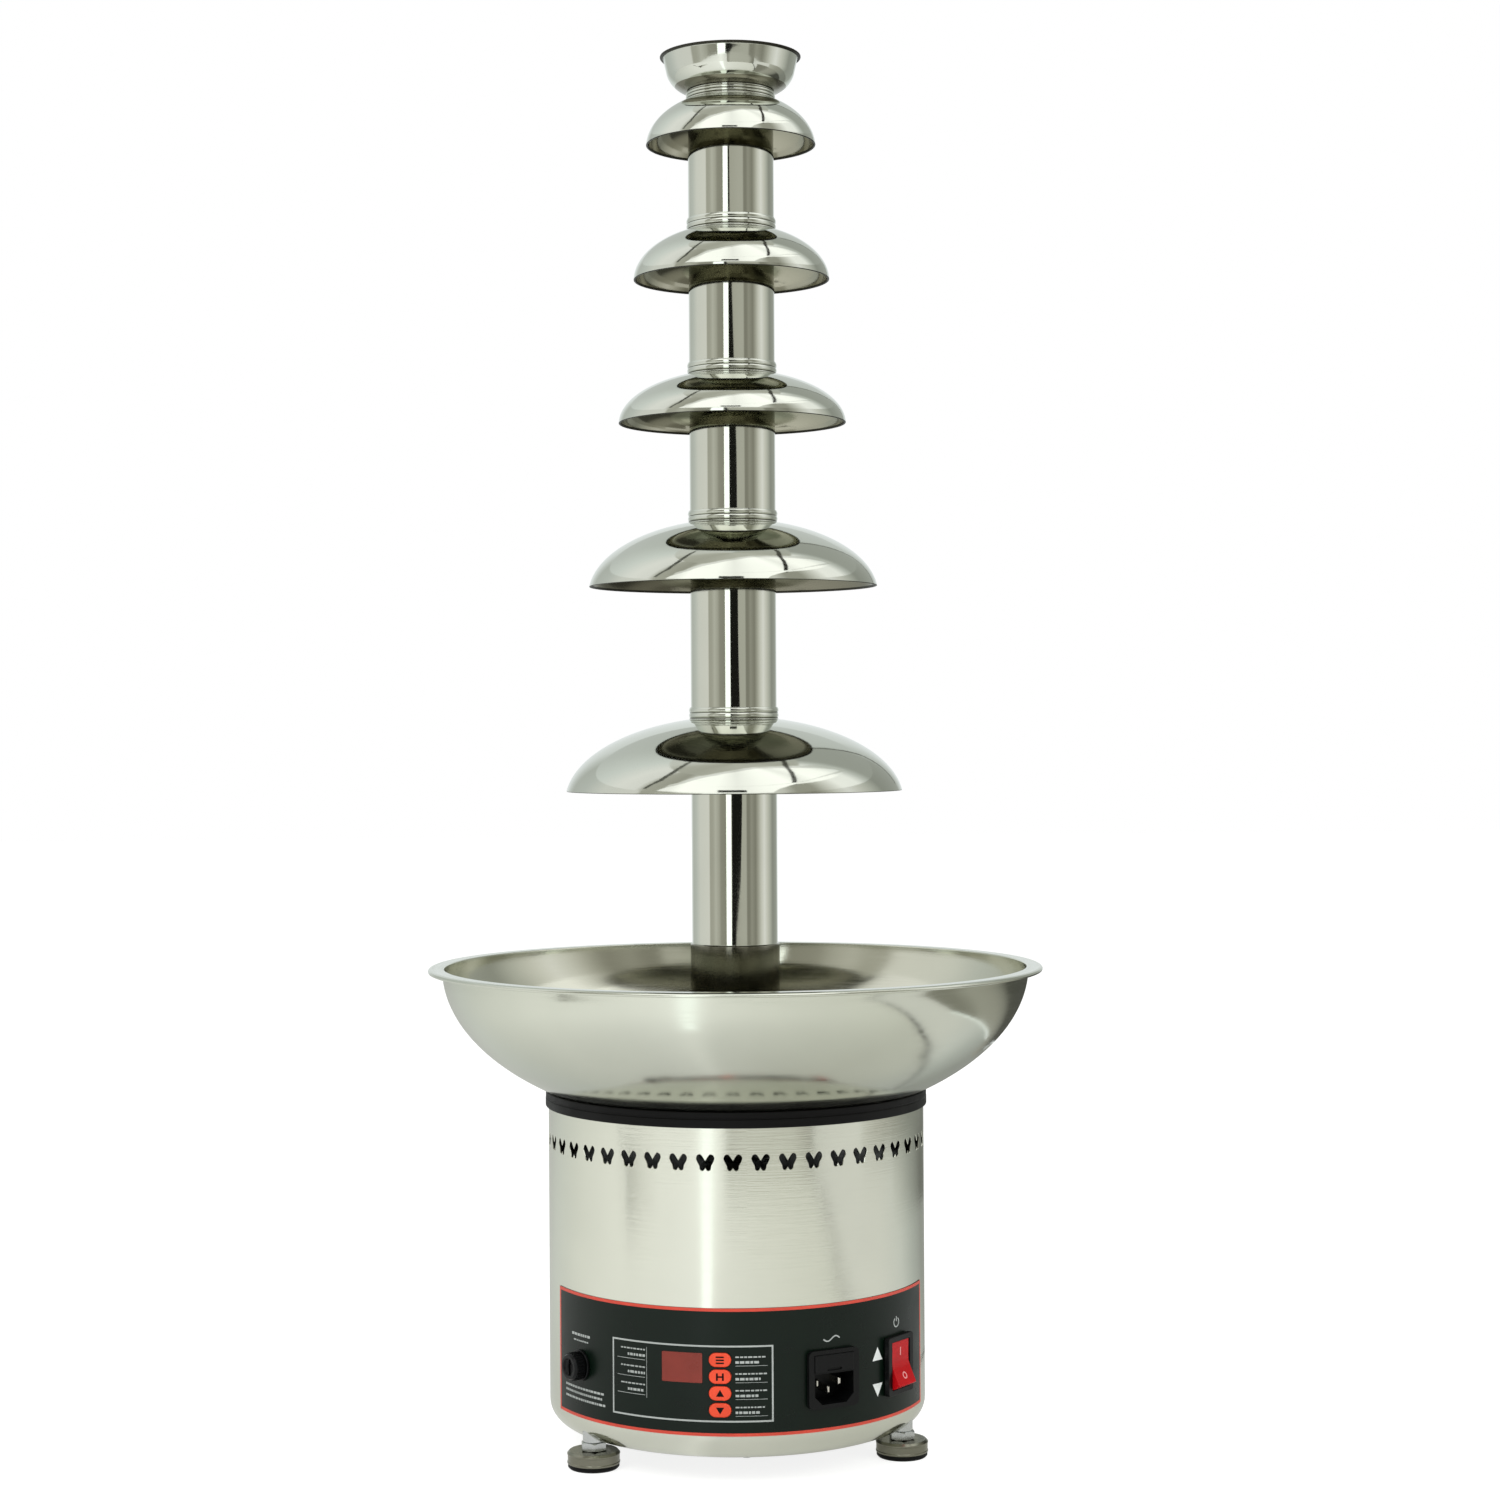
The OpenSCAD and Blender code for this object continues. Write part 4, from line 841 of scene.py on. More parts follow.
# Power inlet: a moulded socket clipped into the panel, with three blades in its recess and a
# drawer above them that holds the spare and the working fuse. The mains lead's connector fits it.
FLANGE_BACK = 107.55
INLET_FRONT = 110.05
INLET_BODY = (27.4, 28.4)
INLET_FLANGE = (31, 31.3)
RECESS_FLOOR = 94.05
RECESS = [(-12, 8.25), (-12, -3.75), (-7.5, -8.25), (7.5, -8.25), (12, -3.75), (12, 8.25)]
DRAWER_Z = SOCKET_Z + 8.5
at_inlet = panel_frame(INLET_ANGLE, SOCKET_Z)
at_recess = panel_frame(INLET_ANGLE, SOCKET_Z - 5.2)
at_drawer = panel_frame(INLET_ANGLE, DRAWER_Z)
inlet = lofted("inlet_socket", [
    prism(rectangle(*INLET_BODY, 1.0), 88, FLANGE_BACK + 0.2, at_inlet)], black_pbt)
carved(inlet, lofted("flange", [
    prism(rectangle(*INLET_FLANGE, 3.0), FLANGE_BACK, INLET_FRONT, at_inlet)]), "UNION")
carved(inlet, lofted("recess", [prism(RECESS, RECESS_FLOOR, HOLE_TO, at_recess)]))
carved(inlet, lofted("drawer_slot", [prism(rectangle(24.4, 9.8), 92, HOLE_TO, at_drawer)]))
smooth_solid(inlet, 0.35)
settle(inlet, "base", "black_plastic", "inlet_housing")
# Nickel plated brass: bright and slightly warm
nickel = moulded("nickel_plated_brass", "#cfccc2", 0.2, 0.5, 0.002, metallic=1.0, spread=0.05)
blades = lofted("inlet_blades", [
    (rectangle(2, 4), ((83, 0), (103.4, 0), (104.05, -0.6)), at_recess @ Matrix.Translation((x, y, 0)))
    for x, y in ((-7, 2), (7, 2), (0, -2))], nickel)
smooth_solid(blades, 0.15)
settle(blades, "base", "plain_steel", "inlet_pins")
drawer = lofted("inlet_fuse_drawer", [
    prism(rectangle(24, 9.4), 93, INLET_FRONT + 0.6, at_drawer)], black_pbt)
carved(drawer, lofted("fuse_bay", [prism(bar(-11, -6, 11, 3.7), 97, 103, at_drawer)]))
carved(drawer, lofted("finger_groove", [prism(rectangle(9, 1.4, 0.6, 3), INLET_FRONT - 0.6, HOLE_TO,
                                              panel_frame(INLET_ANGLE, DRAWER_Z - 3.2))]))
smooth_solid(drawer, 0.3)
settle(drawer, "fuse_drawer", "black_plastic", "fuse_drawer")

# Rocker switch: a frame clipped into the panel, and a red rocker that tips on a pivot across it.
# Its upper end is pressed in at rest, so its lower end stands out.
SWITCH_FRONT = 110.55
PIVOT_R = 106.8
ROCKER_R = 13.2
ROCKER_W = 17.4
ROCKER_TILT = 12
ROCKER_END = 26
ROCKER_DIP = 3.4
SWITCH_BODY = (21, 28.8)
SWITCH_FLANGE = (25, 32)
at_switch = panel_frame(SWITCH_ANGLE, SOCKET_Z)
rocker_frame = panel_frame(SWITCH_ANGLE, SOCKET_Z, PIVOT_R) @ Matrix(
    ((0, 0, -1, 0), (0, 1, 0, 0), (1, 0, 0, 0), (0, 0, 0, 1)))
switch = lofted("switch_frame", [
    prism(rectangle(*SWITCH_BODY, 0.8), 90, FLANGE_BACK + 0.2, at_switch)], black_pbt)
carved(switch, lofted("flange", [
    prism(rectangle(*SWITCH_FLANGE, 1.6), FLANGE_BACK, SWITCH_FRONT, at_switch)]), "UNION")
carved(switch, lofted("rocker_well", [prism(circle(ROCKER_R + 0.4, 96), -9, 9, rocker_frame)]))
smooth_solid(switch, 0.35)
settle(switch, "base", "black_plastic", "switch_housing")
# Moulded polycarbonate: clear red right through, smooth and glossy
rocker_red = moulded("moulded_polycarbonate", "#b90d15", 0.22, 0.8, 0.002, spread=0.05, gloss=0.16)
# Pad printed marks, thin enough for the red below to show pink through them
pink_ink = moulded("pink_pad_ink", "#e79a98", 0.4, 0.4, 0.002)
tilted = rocker_frame @ Matrix.Rotation(math.radians(ROCKER_TILT), 4, "Z")
end = Vector((ROCKER_R * math.sin(math.radians(ROCKER_END)), ROCKER_R * math.cos(math.radians(ROCKER_END))))
back = arc(0, 0, ROCKER_R, 90 - ROCKER_END, 180 + 2 * ROCKER_END, 40)
face = [(end.x - 0.15, 1.2 - end.y), (ROCKER_DIP + 0.5, -3.2), (ROCKER_DIP, 0), (ROCKER_DIP + 0.5, 3.2),
        (end.x - 0.15, end.y - 1.2)]
rocker = lofted("red_rocker", [
    (back + face, ((-ROCKER_W / 2, -0.5), (0.15 - ROCKER_W / 2, -0.2), (0.5 - ROCKER_W / 2, 0),
                   (ROCKER_W / 2 - 0.5, 0), (ROCKER_W / 2 - 0.15, -0.2), (ROCKER_W / 2, -0.5)), tilted)],
    rocker_red)
smooth_solid(rocker, 0, 28)
settle(rocker, "rocker", "rocker_red", "rocker")


def on_rocker(height):
    """The place of a mark on the rocker's face, above or below its middle."""
    start = Vector((ROCKER_DIP + 0.5, 3.2 if height > 0 else -3.2))
    stop = Vector((end.x - 0.15, (end.y - 1.2) * (1 if height > 0 else -1)))
    up = (stop - start).normalized() * (1 if height > 0 else -1)
    at = start + (stop - start) * (abs(height) - 3.2) / (abs(stop.y) - 3.2)
    return tilted @ Matrix(((0, up.x, up.y, at.x), (0, up.y, -up.x, at.y), (-1, 0, 0, 0), (0, 0, 0, 1)))


mark_i = lofted("rocker_mark_on", [prism(rectangle(0.9, 4.6, 0.4, 3), -0.05, 0.05, on_rocker(6.4))], pink_ink)
settle(mark_i, "rocker", "rocker_red")
mark_o = spun("rocker_mark_off", [(1.25, -0.05), (2.0, -0.05), (2.0, 0.06), (1.25, 0.06)],
              pink_ink, 0.02, 32, on_rocker(-6.8))
settle(mark_o, "rocker", "rocker_red")

# Fuse holder: a round moulded holder nutted into the panel, and a ribbed cap that a coin turns.
# The cap draws its glass fuse out with it.
CAP_FRONT = 116.05
CAP_R = 7.5
RIB_COUNT = 28
at_fuse = panel_frame(FUSE_ANGLE, FUSE_Z)
holder = spun("fuse_holder_body", [
    (0, 78), (6, 78), (6, FLANGE_BACK), (8.5, FLANGE_BACK), (8.5, 109.05), (4.7, 109.05), (4.7, 80.5),
    (0, 80.5)], black_pbt, 0.35, 72, at_fuse)
settle(holder, "base", "black_plastic", "fuse_holder")
cap = spun("fuse_cap_head", [
    (2.6, 97), (4.4, 97), (4.4, 109.35), (CAP_R - 0.2, 109.35), (CAP_R - 0.2, 114.9),
    (CAP_R - 1.1, CAP_FRONT), (4.9, CAP_FRONT), (4.2, 115.0), (0, 115.0), (0, 102), (2.6, 102)],
    black_pbt, 0.3, 72, at_fuse)
carved(cap, lofted("coin_slot", [prism(rectangle(1.6, 8.6), 113.6, 118, at_fuse)]))
smooth_solid(cap, 0, 30)
settle(cap, "fuse_cap", "black_plastic", "fuse_cap")
ribs = lofted("fuse_cap_ribs", [(circle(0.45, 10), ((109.7, -0.1), (110, 0), (114.6, 0), (114.9, -0.15)),
                                 Matrix.Translation((CAP_R - 0.25, 0, 0)))], black_pbt)
ring_of(ribs, RIB_COUNT, 0, 360 / RIB_COUNT, black_pbt)
ribs.data.transform(Matrix.Scale(MM, 4) @ at_fuse @ Matrix.Scale(1 / MM, 4))
smooth_solid(ribs, 0, 40)
settle(ribs, "fuse_cap", "black_plastic")
# Borosilicate glass tube with nothing in it to see but its wire
fuse_glass, tree = blank_material("borosilicate_glass")
soft = ranged(tree, noise(tree, object_place(tree), 300.0), 0.02, 0.08)
glass = add(tree, "ShaderNodeBsdfPrincipled", {"Base Color": colour("#eef4f2"), "Roughness": soft,
                                               "Transmission Weight": 1.0, "IOR": 1.47})
add(tree, "ShaderNodeOutputMaterial", {0: glass.outputs[0]})
dress(fuse_glass, "glass_fuse")

# Gasket: a rubber ring in the joint between drum and bowl, shaped to the bowl's underside.
# A groove round its face parts its lip from its body.
RIM_Z = 271.5
BOWL_WALL_R = 167
BOWL_CURVE = 91
GASKET_R = 108.7
GROOVE_Z = 198


def bowl_under(r):
    """Height of the bowl's outer face at a radius."""
    return RIM_Z - BOWL_CURVE * math.sqrt(1 - (r / BOWL_WALL_R) ** 2)


gasket = spun("gasket_ring", [
    (97, DRUM_TOP), (GASKET_R - 0.1, DRUM_TOP), (GASKET_R, DRUM_TOP + 0.4), (GASKET_R, GROOVE_Z - 0.6),
    (GASKET_R - 0.45, GROOVE_Z - 0.2), (GASKET_R - 0.45, GROOVE_Z + 0.2), (GASKET_R - 0.1, GROOVE_Z + 0.6),
    (GASKET_R - 0.1, bowl_under(GASKET_R - 1) - 0.6),
    *[(r, bowl_under(r) - 0.25) for r in (107.7, 106.5, 105.3, 104.1, 102.9, 102)],
    (97, bowl_under(97) - 0.25)], rubber, 0.35, 256)
settle(gasket, "base", "black_rubber", "bowl_gasket")

# Bowl: spun from one stainless disc over a former, satin outside and brighter inside, with a flat
# lip turned out at the rim. A flanged hub through its floor carries the tower and the shaft's seal.
BOWL_R = 175
SHEET = 1.2
FLOOR_Z = 199.2
# Spun stainless, polished after spinning: pale and a little soft, with faint rings from the former
bowl_steel = stainless("spun_stainless_bowl", "#cdd0c3", 0.11, 0.22, 1.2, 0.02, 0.008)


def wall_arc(half_width, half_height, foot_z, steps=44):
    """The bowl's wall from the rim to its flat floor."""
    last = math.asin((RIM_Z - foot_z) / half_height)
    return [(half_width * math.cos(u), RIM_Z - half_height * math.sin(u))
            for u in (last * k / steps for k in range(steps + 1))]


outer = [p for p in wall_arc(BOWL_WALL_R, BOWL_CURVE, FLOOR_Z - SHEET) if p[1] < RIM_Z - SHEET - 1]
inner = wall_arc(BOWL_WALL_R - SHEET, BOWL_CURVE - SHEET, FLOOR_Z)
bowl = spun("chocolate_bowl", [
    (15.9, FLOOR_Z - SHEET), (60, FLOOR_Z - SHEET), *reversed(outer), (BOWL_WALL_R + 0.3, RIM_Z - SHEET),
    (BOWL_R - 2.4, RIM_Z - SHEET), (BOWL_R - 1.1, RIM_Z - 2.5), (BOWL_R - 0.3, RIM_Z - 2.3),
    (BOWL_R, RIM_Z - 1.4), (BOWL_R - 0.5, RIM_Z - 0.5), (BOWL_R - 1.6, RIM_Z), *inner, (60, FLOOR_Z),
    (15.9, FLOOR_Z)], bowl_steel, 0.8, 288)

# The inside is a little paler and brighter than the outside: painted light, for the brighter inside of the
# bowl
bowl_inside = stainless("spun_stainless_inside_painted_light", "#d2d3c4", 0.1, 0.2, 1.2, 0.02, 0.008)
lined(bowl, bowl_inside, lambda p, n: n.z > 0.05 and Vector((p.x, p.y)).length < BOWL_WALL_R - SHEET + 0.1)
settle(bowl, "base", "polished_steel", "bowl")

# Feed screw: a moulded nylon core driven by the shaft's cross pin, and a flight wound round it
# that lifts the chocolate up the tower.
CORE_R = 8
FLIGHT_R = 21.5
FLIGHT_LOW, FLIGHT_HIGH = 220.7, 773
FLIGHT_T = 2
FLIGHT_PITCH = 42


def flight_tree():
    """A node tree for a screw flight: a grid wound into a helicoid and given its thickness."""
    tree, given = geometry_tree("screw flight", (
        ("Steps", "Int"), ("Turns", "Float"), ("Root radius", "Float"), ("Outer radius", "Float"),
        ("Low", "Float"), ("Rise", "Float"), ("Thickness", "Float"), ("Finish", "Material")))
    grid = add(tree, "GeometryNodeMeshGrid", {"Size X": 1.0, "Size Y": 1.0, "Vertices X": given["Steps"],
                                              "Vertices Y": 3}).outputs[0]
    here = add(tree, "GeometryNodeInputPosition").outputs[0]
    xyz = add(tree, "ShaderNodeSeparateXYZ", {0: here}).outputs
    along = maths(tree, "ADD", xyz[0], 0.5)
    across = maths(tree, "ADD", xyz[1], 0.5)
    angle = maths(tree, "MULTIPLY", maths(tree, "MULTIPLY", along, given["Turns"]), 2 * math.pi)
    radius = ranged(tree, across, given["Root radius"], given["Outer radius"])
    height = maths(tree, "MULTIPLY_ADD", along, given["Rise"], given["Low"])
    x = maths(tree, "MULTIPLY", maths(tree, "COSINE", angle), radius)
    y = maths(tree, "MULTIPLY", maths(tree, "SINE", angle), radius)
    helix = add(tree, "ShaderNodeCombineXYZ", {0: x, 1: y, 2: height}).outputs[0]
    wound = add(tree, "GeometryNodeSetPosition", {"Geometry": grid, "Position": helix})
    rise = add(tree, "ShaderNodeCombineXYZ", {2: given["Thickness"]}).outputs[0]
    top = add(tree, "GeometryNodeExtrudeMesh", {"Mesh": wound.outputs[0], "Offset": rise,
                                                "Offset Scale": 1.0, "Individual": False})
    under = add(tree, "GeometryNodeFlipFaces", {0: wound.outputs[0]})
    both = add(tree, "GeometryNodeJoinGeometry", {0: top.outputs[0]})
    tree.links.new(under.outputs[0], both.inputs[0])
    closed = add(tree, "GeometryNodeMergeByDistance", {"Geometry": both.outputs[0], "Distance": 1e-6})
    return end_tree(tree, closed.outputs[0], given["Finish"])


flight = placed("screw_flight", bpy.data.meshes.new("screw_flight"))
winding = flight.modifiers.new("flight", "NODES")
winding.node_group = flight_tree()
flight_turns = (FLIGHT_HIGH - FLIGHT_LOW) / FLIGHT_PITCH
fill_inputs(winding, {"Steps": int(flight_turns * 40) + 1, "Turns": flight_turns,
                      "Root radius": (CORE_R - 0.3) * MM, "Outer radius": FLIGHT_R * MM,
                      "Low": FLIGHT_LOW * MM, "Rise": (FLIGHT_HIGH - FLIGHT_LOW) * MM,
                      "Thickness": FLIGHT_T * MM, "Finish": white_nylon})
plain(flight)
wound = bmesh.new()
wound.from_mesh(flight.data)
bmesh.ops.recalc_face_normals(wound, faces=wound.faces)
wound.to_mesh(flight.data)
wound.free()
smooth_solid(flight, 0, 40)
settle(flight, "auger", "white_nylon", "auger_flight")
dress(white_nylon, "auger_core")

# Tower tubes: drawn stainless tube, mirror polished, each with a spigot welded in its top that
# plugs into the tube above. The first has a wider sleeve and three windows at its foot.
TUBE_R = 24.5
BORE_R = 23.3
SPIGOT_R = 23.0
SPIGOT_BORE_R = 22.0
SPIGOT_H = 14
SLEEVE_R = 25.5
SLEEVE_TOP = 284
JOINTS = (199.2, 412.0, 524.3, 608.9, 691.3, 765.8)
# Drawn tube, buffed to a mirror: every upright edge in the room shows as a sharp upright stripe
mirror_tube = stainless("mirror_polished_tube", "#d3d5c9", 0.04, 0.075, 1.5, 0.002, 0.001)
# The sleeve stands in the chocolate; it is given a darker, warmer steel as a painted reflection of the dark
# bowl round it
sleeve_painted_reflection = stainless("sleeve_steel_painted_reflection", "#8b897c", 0.07, 0.13, 1.2, 0.01, 0.002)
# Under each bell the tube is given a darker, browner steel: painted shade and reflection of the bell's dark
# underside
under_bell_painted_shade = stainless("tube_painted_shade_under_bell", "#84826f", 0.05, 0.09, 1.5, 0.002, 0.001)
UNDER_BELL = (38, 38, 30.5, 32, 30)
WINDOW_R, WINDOW_H = 8, 20

for number in range(1, 6):
    low, high = JOINTS[number - 1], JOINTS[number]
    foot = [(TUBE_R, low)] if number > 1 else [(SLEEVE_R, low), (SLEEVE_R, SLEEVE_TOP - 0.6),
                                               (SLEEVE_R - 0.6, SLEEVE_TOP), (TUBE_R, SLEEVE_TOP)]
    shade_from_z = high - UNDER_BELL[number - 1]
    tube = spun(f"tower_tube_{number}", [
        (BORE_R, low), *foot, (TUBE_R, shade_from_z), (TUBE_R - 0.04, shade_from_z + 0.1), (TUBE_R - 0.04, high),
        (SPIGOT_R, high), (SPIGOT_R, high + SPIGOT_H), (SPIGOT_BORE_R, high + SPIGOT_H),
        (SPIGOT_BORE_R, high - 4), (BORE_R, high - 4)], mirror_tube, 0.3, 160)
    if number == 1:
        window = [(-WINDOW_R, -2), (WINDOW_R, -2)] + arc(0, WINDOW_H, WINDOW_R, 0, 180, 16)
        carved(tube, lofted("windows", [prism(window, 12, 30, panel_frame(a, low)) for a in (90, 210, 330)]))
        turned_normals(tube)
        lined(tube, sleeve_painted_reflection, lambda p, n: math.hypot(p.x, p.y) > TUBE_R + 0.2)
    # The painted shade covers the tube from where the bell's shade begins up to its joint
    lined(tube, under_bell_painted_shade, lambda p, n: shade_from_z < p.z < high and math.hypot(p.x, p.y) > TUBE_R - 0.3)
    settle(tube, f"tier_{number}", "polished_steel", f"tube_{number}")

# Bells: spun stainless domes, mirror polished outside, each with a collar at its top that holds
# the foot of the tube above. Chocolate runs over them and falls from their rims as a curtain.
BELLS = ((96, 48.6, 6), (82.4, 43.2, 4.7), (65, 30.4, 0.3), (56, 32, 0.5), (48.5, 31.6, 1.5))
COLLAR_H = (6.7, 6.7, 6.7, 6.7, 4.4)
BELL_WALL = 1
# Spun and buffed stainless: a clear mirror with a slight pale green cast
mirror_bell = stainless("mirror_polished_bell", "#d2d5ca", 0.045, 0.09, 1.5, 0.006, 0.003)
# Underside of the bells: a darker, warmer steel, painted shade for the hollow under each bell
shade_under_bells = stainless("underside_painted_shade", "#a8a796", 0.08, 0.16, 1.2, 0.02, 0.004)
# Under the two large bells and the crown's cup a still darker steel: deeper painted shade
deeper_shade_under = stainless("underside_painted_deep_shade", "#838172", 0.12, 0.24, 1.2, 0.03, 0.004)
# The cut edge and the lowest strip inside each rim are given a dark steel, painted shade that draws a dark
# line along each rim
rim_painted_shade = stainless("rim_painted_shade", "#3a3932", 0.35, 0.5, 0.4, 0.05, 0.002)
RIM_LINE = 1.3
# Polishing compound stays in the grooves beside the collars' two rolled beads
grooved = stainless("collar_grooves", "#4a483c", 0.2, 0.34, 0.8, 0.02, 0.002)
BEAD_DEPTH = 0.4


def bead(low, high, out, steps=8):
    """The outline of a shallow bead that stands out from a groove on either side."""
    r = ((high - low) ** 2 / 4 + BEAD_DEPTH ** 2) / (2 * BEAD_DEPTH)
    reach = math.asin((high - low) / 2 / r)
    return [(out - r + r * math.cos(a), (low + high) / 2 + r * math.sin(a))
            for a in (reach * (2 * k / steps - 1) for k in range(steps + 1))]


for number, (rim_r, rise, sink) in enumerate(BELLS, 1):
    top = JOINTS[number]
    half = rim_r / math.sqrt(1 - (sink / rise) ** 2)
    rim = top - rise * math.sqrt(1 - (TUBE_R / half) ** 2) + sink

    def skin(inset, first, last, steps=36):
        return [((half - inset) * math.cos(u), rim - sink + (rise - inset) * math.sin(u))
                for u in (first + (last - first) * k / steps for k in range(steps + 1))]

    collar_top = top + COLLAR_H[number - 1]
    collar_out, collar_in = TUBE_R + 1.1, TUBE_R + 0.3
    bead_h = (COLLAR_H[number - 1] - 1.3) / 2
    bell = spun(f"bell_dome_{number}", [
        *skin(0, math.asin(sink / rise), math.acos(collar_out / half)),
        (collar_out, top + 0.2), (collar_out - BEAD_DEPTH, top + 0.3),
        *bead(top + 0.8, top + 0.8 + bead_h, collar_out),
        *bead(collar_top - 0.3 - bead_h, collar_top - 0.3, collar_out),
        (collar_out - BEAD_DEPTH, collar_top), (collar_in, collar_top), (collar_in, top),
        (TUBE_R + 0.1, top),
        *skin(BELL_WALL, math.acos((TUBE_R + 0.1) / (half - BELL_WALL)),
              math.asin((sink + RIM_LINE) / (rise - BELL_WALL))),
        skin(BELL_WALL, 0, math.asin(sink / (rise - BELL_WALL)), 1)[1]], mirror_bell, 0.35, 224)
    # The underside inside each bell is painted shade
    lined(bell, deeper_shade_under if number < 3 else shade_under_bells, lambda p, n: n.z < -0.03 and p.z < top)
    lined(bell, rim_painted_shade, lambda p, n: p.z < rim + RIM_LINE and n.z < -0.03)
    lined(bell, grooved, lambda p, n: TUBE_R + 0.6 < math.hypot(p.x, p.y) < collar_out - 0.9 * BEAD_DEPTH
          and top + 0.2 < p.z < collar_top - 0.4)
    settle(bell, f"tier_{number}", "polished_steel", f"bell_{number}")

# Crown: a small spun cup on a neck, plugged over the last tube. The screw lifts the chocolate
# into it and it runs over the rim.
CROWN_FOOT = JOINTS[5]
CROWN_R, CROWN_H, NECK_H = 40.3, 25.2, 5.2
CROWN_CURVE = 15
CROWN_TOP = CROWN_FOOT + CROWN_H
arc_mid = (TUBE_R - 2.3, CROWN_FOOT + NECK_H + CROWN_CURVE - 0.5)


def cup_arc(radius, steps=20):
    return [(arc_mid[0] + radius * math.sin(t), arc_mid[1] - radius * math.cos(t))
            for t in (math.radians(10 + 60 * k / steps) for k in range(steps + 1))]


outside, inside = cup_arc(CROWN_CURVE), cup_arc(CROWN_CURVE - BELL_WALL)
crown = spun("crown_cup", [
    (BORE_R, CROWN_FOOT), (TUBE_R, CROWN_FOOT), (TUBE_R, CROWN_FOOT + 2.2),
    (TUBE_R - 0.3, CROWN_FOOT + 2.5), (TUBE_R - 0.3, CROWN_FOOT + 2.9), (TUBE_R, CROWN_FOOT + 3.2),
    (TUBE_R, outside[0][1]), *outside,
    (CROWN_R - 2.1, CROWN_TOP - 2.4), (CROWN_R - 1.8, CROWN_TOP - 1.3), (CROWN_R - 0.3, CROWN_TOP - 1.0),
    (CROWN_R, CROWN_TOP - 0.6), (CROWN_R, CROWN_TOP), (CROWN_R - 1.4, CROWN_TOP),
    (CROWN_R - 3.0, CROWN_TOP - 1.2), *reversed(inside),
    (BORE_R, inside[0][1])], mirror_bell, 0.35, 192)
# A dark line of painted shade along the crown's rim
lined(crown, rim_painted_shade, lambda p, n: p.z > CROWN_TOP - 1.3)
# The underside of the crown's cup is painted shade, which bell 5 reflects
lined(crown, deeper_shade_under, lambda p, n: n.z < -0.75 and outside[0][1] - 0.5 < p.z < CROWN_TOP - 5)
lined(crown, grooved, lambda p, n: p.z < CROWN_FOOT + 3.1 and
      TUBE_R - 0.32 < math.hypot(p.x, p.y) < TUBE_R - 0.08)
settle(crown, "crown", "polished_steel", "crown")

# Studio: a pale floor, an even white room, and cards that only the metal's reflections see. They
# stand round the front as a photographer's flags and strips do, and bend over as a dome. Unlike the
# object's sizes, those of the studio are in metres.
scene = bpy.context.scene
scene.view_settings.view_transform = "Standard"
CAMERA_AZIMUTH = -3.0
ROOM_R = 2.6
ROOM_MID = 0.45


def greys(tree, stops):
    """Grey by the azimuth from the camera, + to the viewer's right: (degrees, level) stops, olive
    where they are dark and cooler behind the fountain. Gives the colour, for levels of up to 2."""
    turned = add(tree, "ShaderNodeVectorRotate", {"Vector": object_place(tree),
                                                  "Angle": math.radians(-CAMERA_AZIMUTH)},
                 rotation_type="Z_AXIS").outputs[0]
    xyz = add(tree, "ShaderNodeSeparateXYZ", {0: turned}).outputs
    angle = maths(tree, "ARCTAN2", xyz[0], maths(tree, "MULTIPLY", xyz[1], -1.0))
    ramp = add(tree, "ShaderNodeValToRGB", {0: ranged(tree, angle, 0.0, 1.0, -math.pi, math.pi)})
    bar_ends = ramp.color_ramp.elements
    while len(bar_ends) < len(stops):
        bar_ends.new(0.5)
    for element, (degrees, value) in zip(bar_ends, stops):
        element.position = (degrees + 180) / 360
        cool = 0.05 * min(1, max(0, abs(degrees) / 20 - 5))
        warm = min(1, 0.78 + 0.22 * value + cool)
        green = min(1, 0.97 + 0.05 * value)
        element.color = (value / 2 * (1 - cool), value / 2 * green, value / 2 * warm, 1)
    return ramp.outputs[0]


def seen_by(tree):
    """The camera's rays, and 1 for what the camera, a reflection or a view through glass sees."""
    rays = add(tree, "ShaderNodeLightPath").outputs
    first = maths(tree, "MAXIMUM", rays["Is Camera Ray"], rays["Is Glossy Ray"])
    return rays["Is Camera Ray"], maths(tree, "MAXIMUM", first, rays["Is Transmission Ray"])


world = bpy.data.worlds.new("white room")
scene.world = world
world.use_nodes = True
tree = world.node_tree
tree.nodes.clear()
level = ranged(tree, seen_by(tree)[1], 0.62, 1.0)
sky = add(tree, "ShaderNodeBackground", {"Color": colour("#ffffff"), "Strength": level})
add(tree, "ShaderNodeOutputWorld", {0: sky.outputs[0]})

floor_paper, tree = blank_material("floor_paper")
by_camera, by_sight = seen_by(tree)
paper = add(tree, "ShaderNodeBsdfDiffuse", {"Color": colour("#f4f5f2")})
tone = greys(tree, ((-180, .28), (-156, .34), (-132, .6), (-105, .78), (-80, .9), (-40, .96), (-24, 1.05),
                    (-16, 1.25), (-9, .94), (10, .84), (30, .76), (60, .66), (98, .66), (125, .55),
                    (145, .38), (180, .28)))
# The fountain shades the paper round its foot
away = add(tree, "ShaderNodeVectorMath", {0: object_place(tree)}, operation="LENGTH").outputs[1]
shaded = scaled(tree, tone, ranged(tree, away, 0.68, 1.0, 0.12, 0.6, interpolation_type="SMOOTHSTEP"))
glow_colour = add(tree, "ShaderNodeMix", {0: by_camera, 6: shaded, 7: colour("#ffffff")},
                  data_type="RGBA").outputs[2]
glow_level = ranged(tree, by_camera, 2.5, 1.35)
glow = add(tree, "ShaderNodeEmission", {"Color": glow_colour, "Strength": glow_level})
mixed = add(tree, "ShaderNodeMixShader", {0: maths(tree, "MULTIPLY", by_sight, 0.62),
                                          1: paper.outputs[0], 2: glow.outputs[0]})
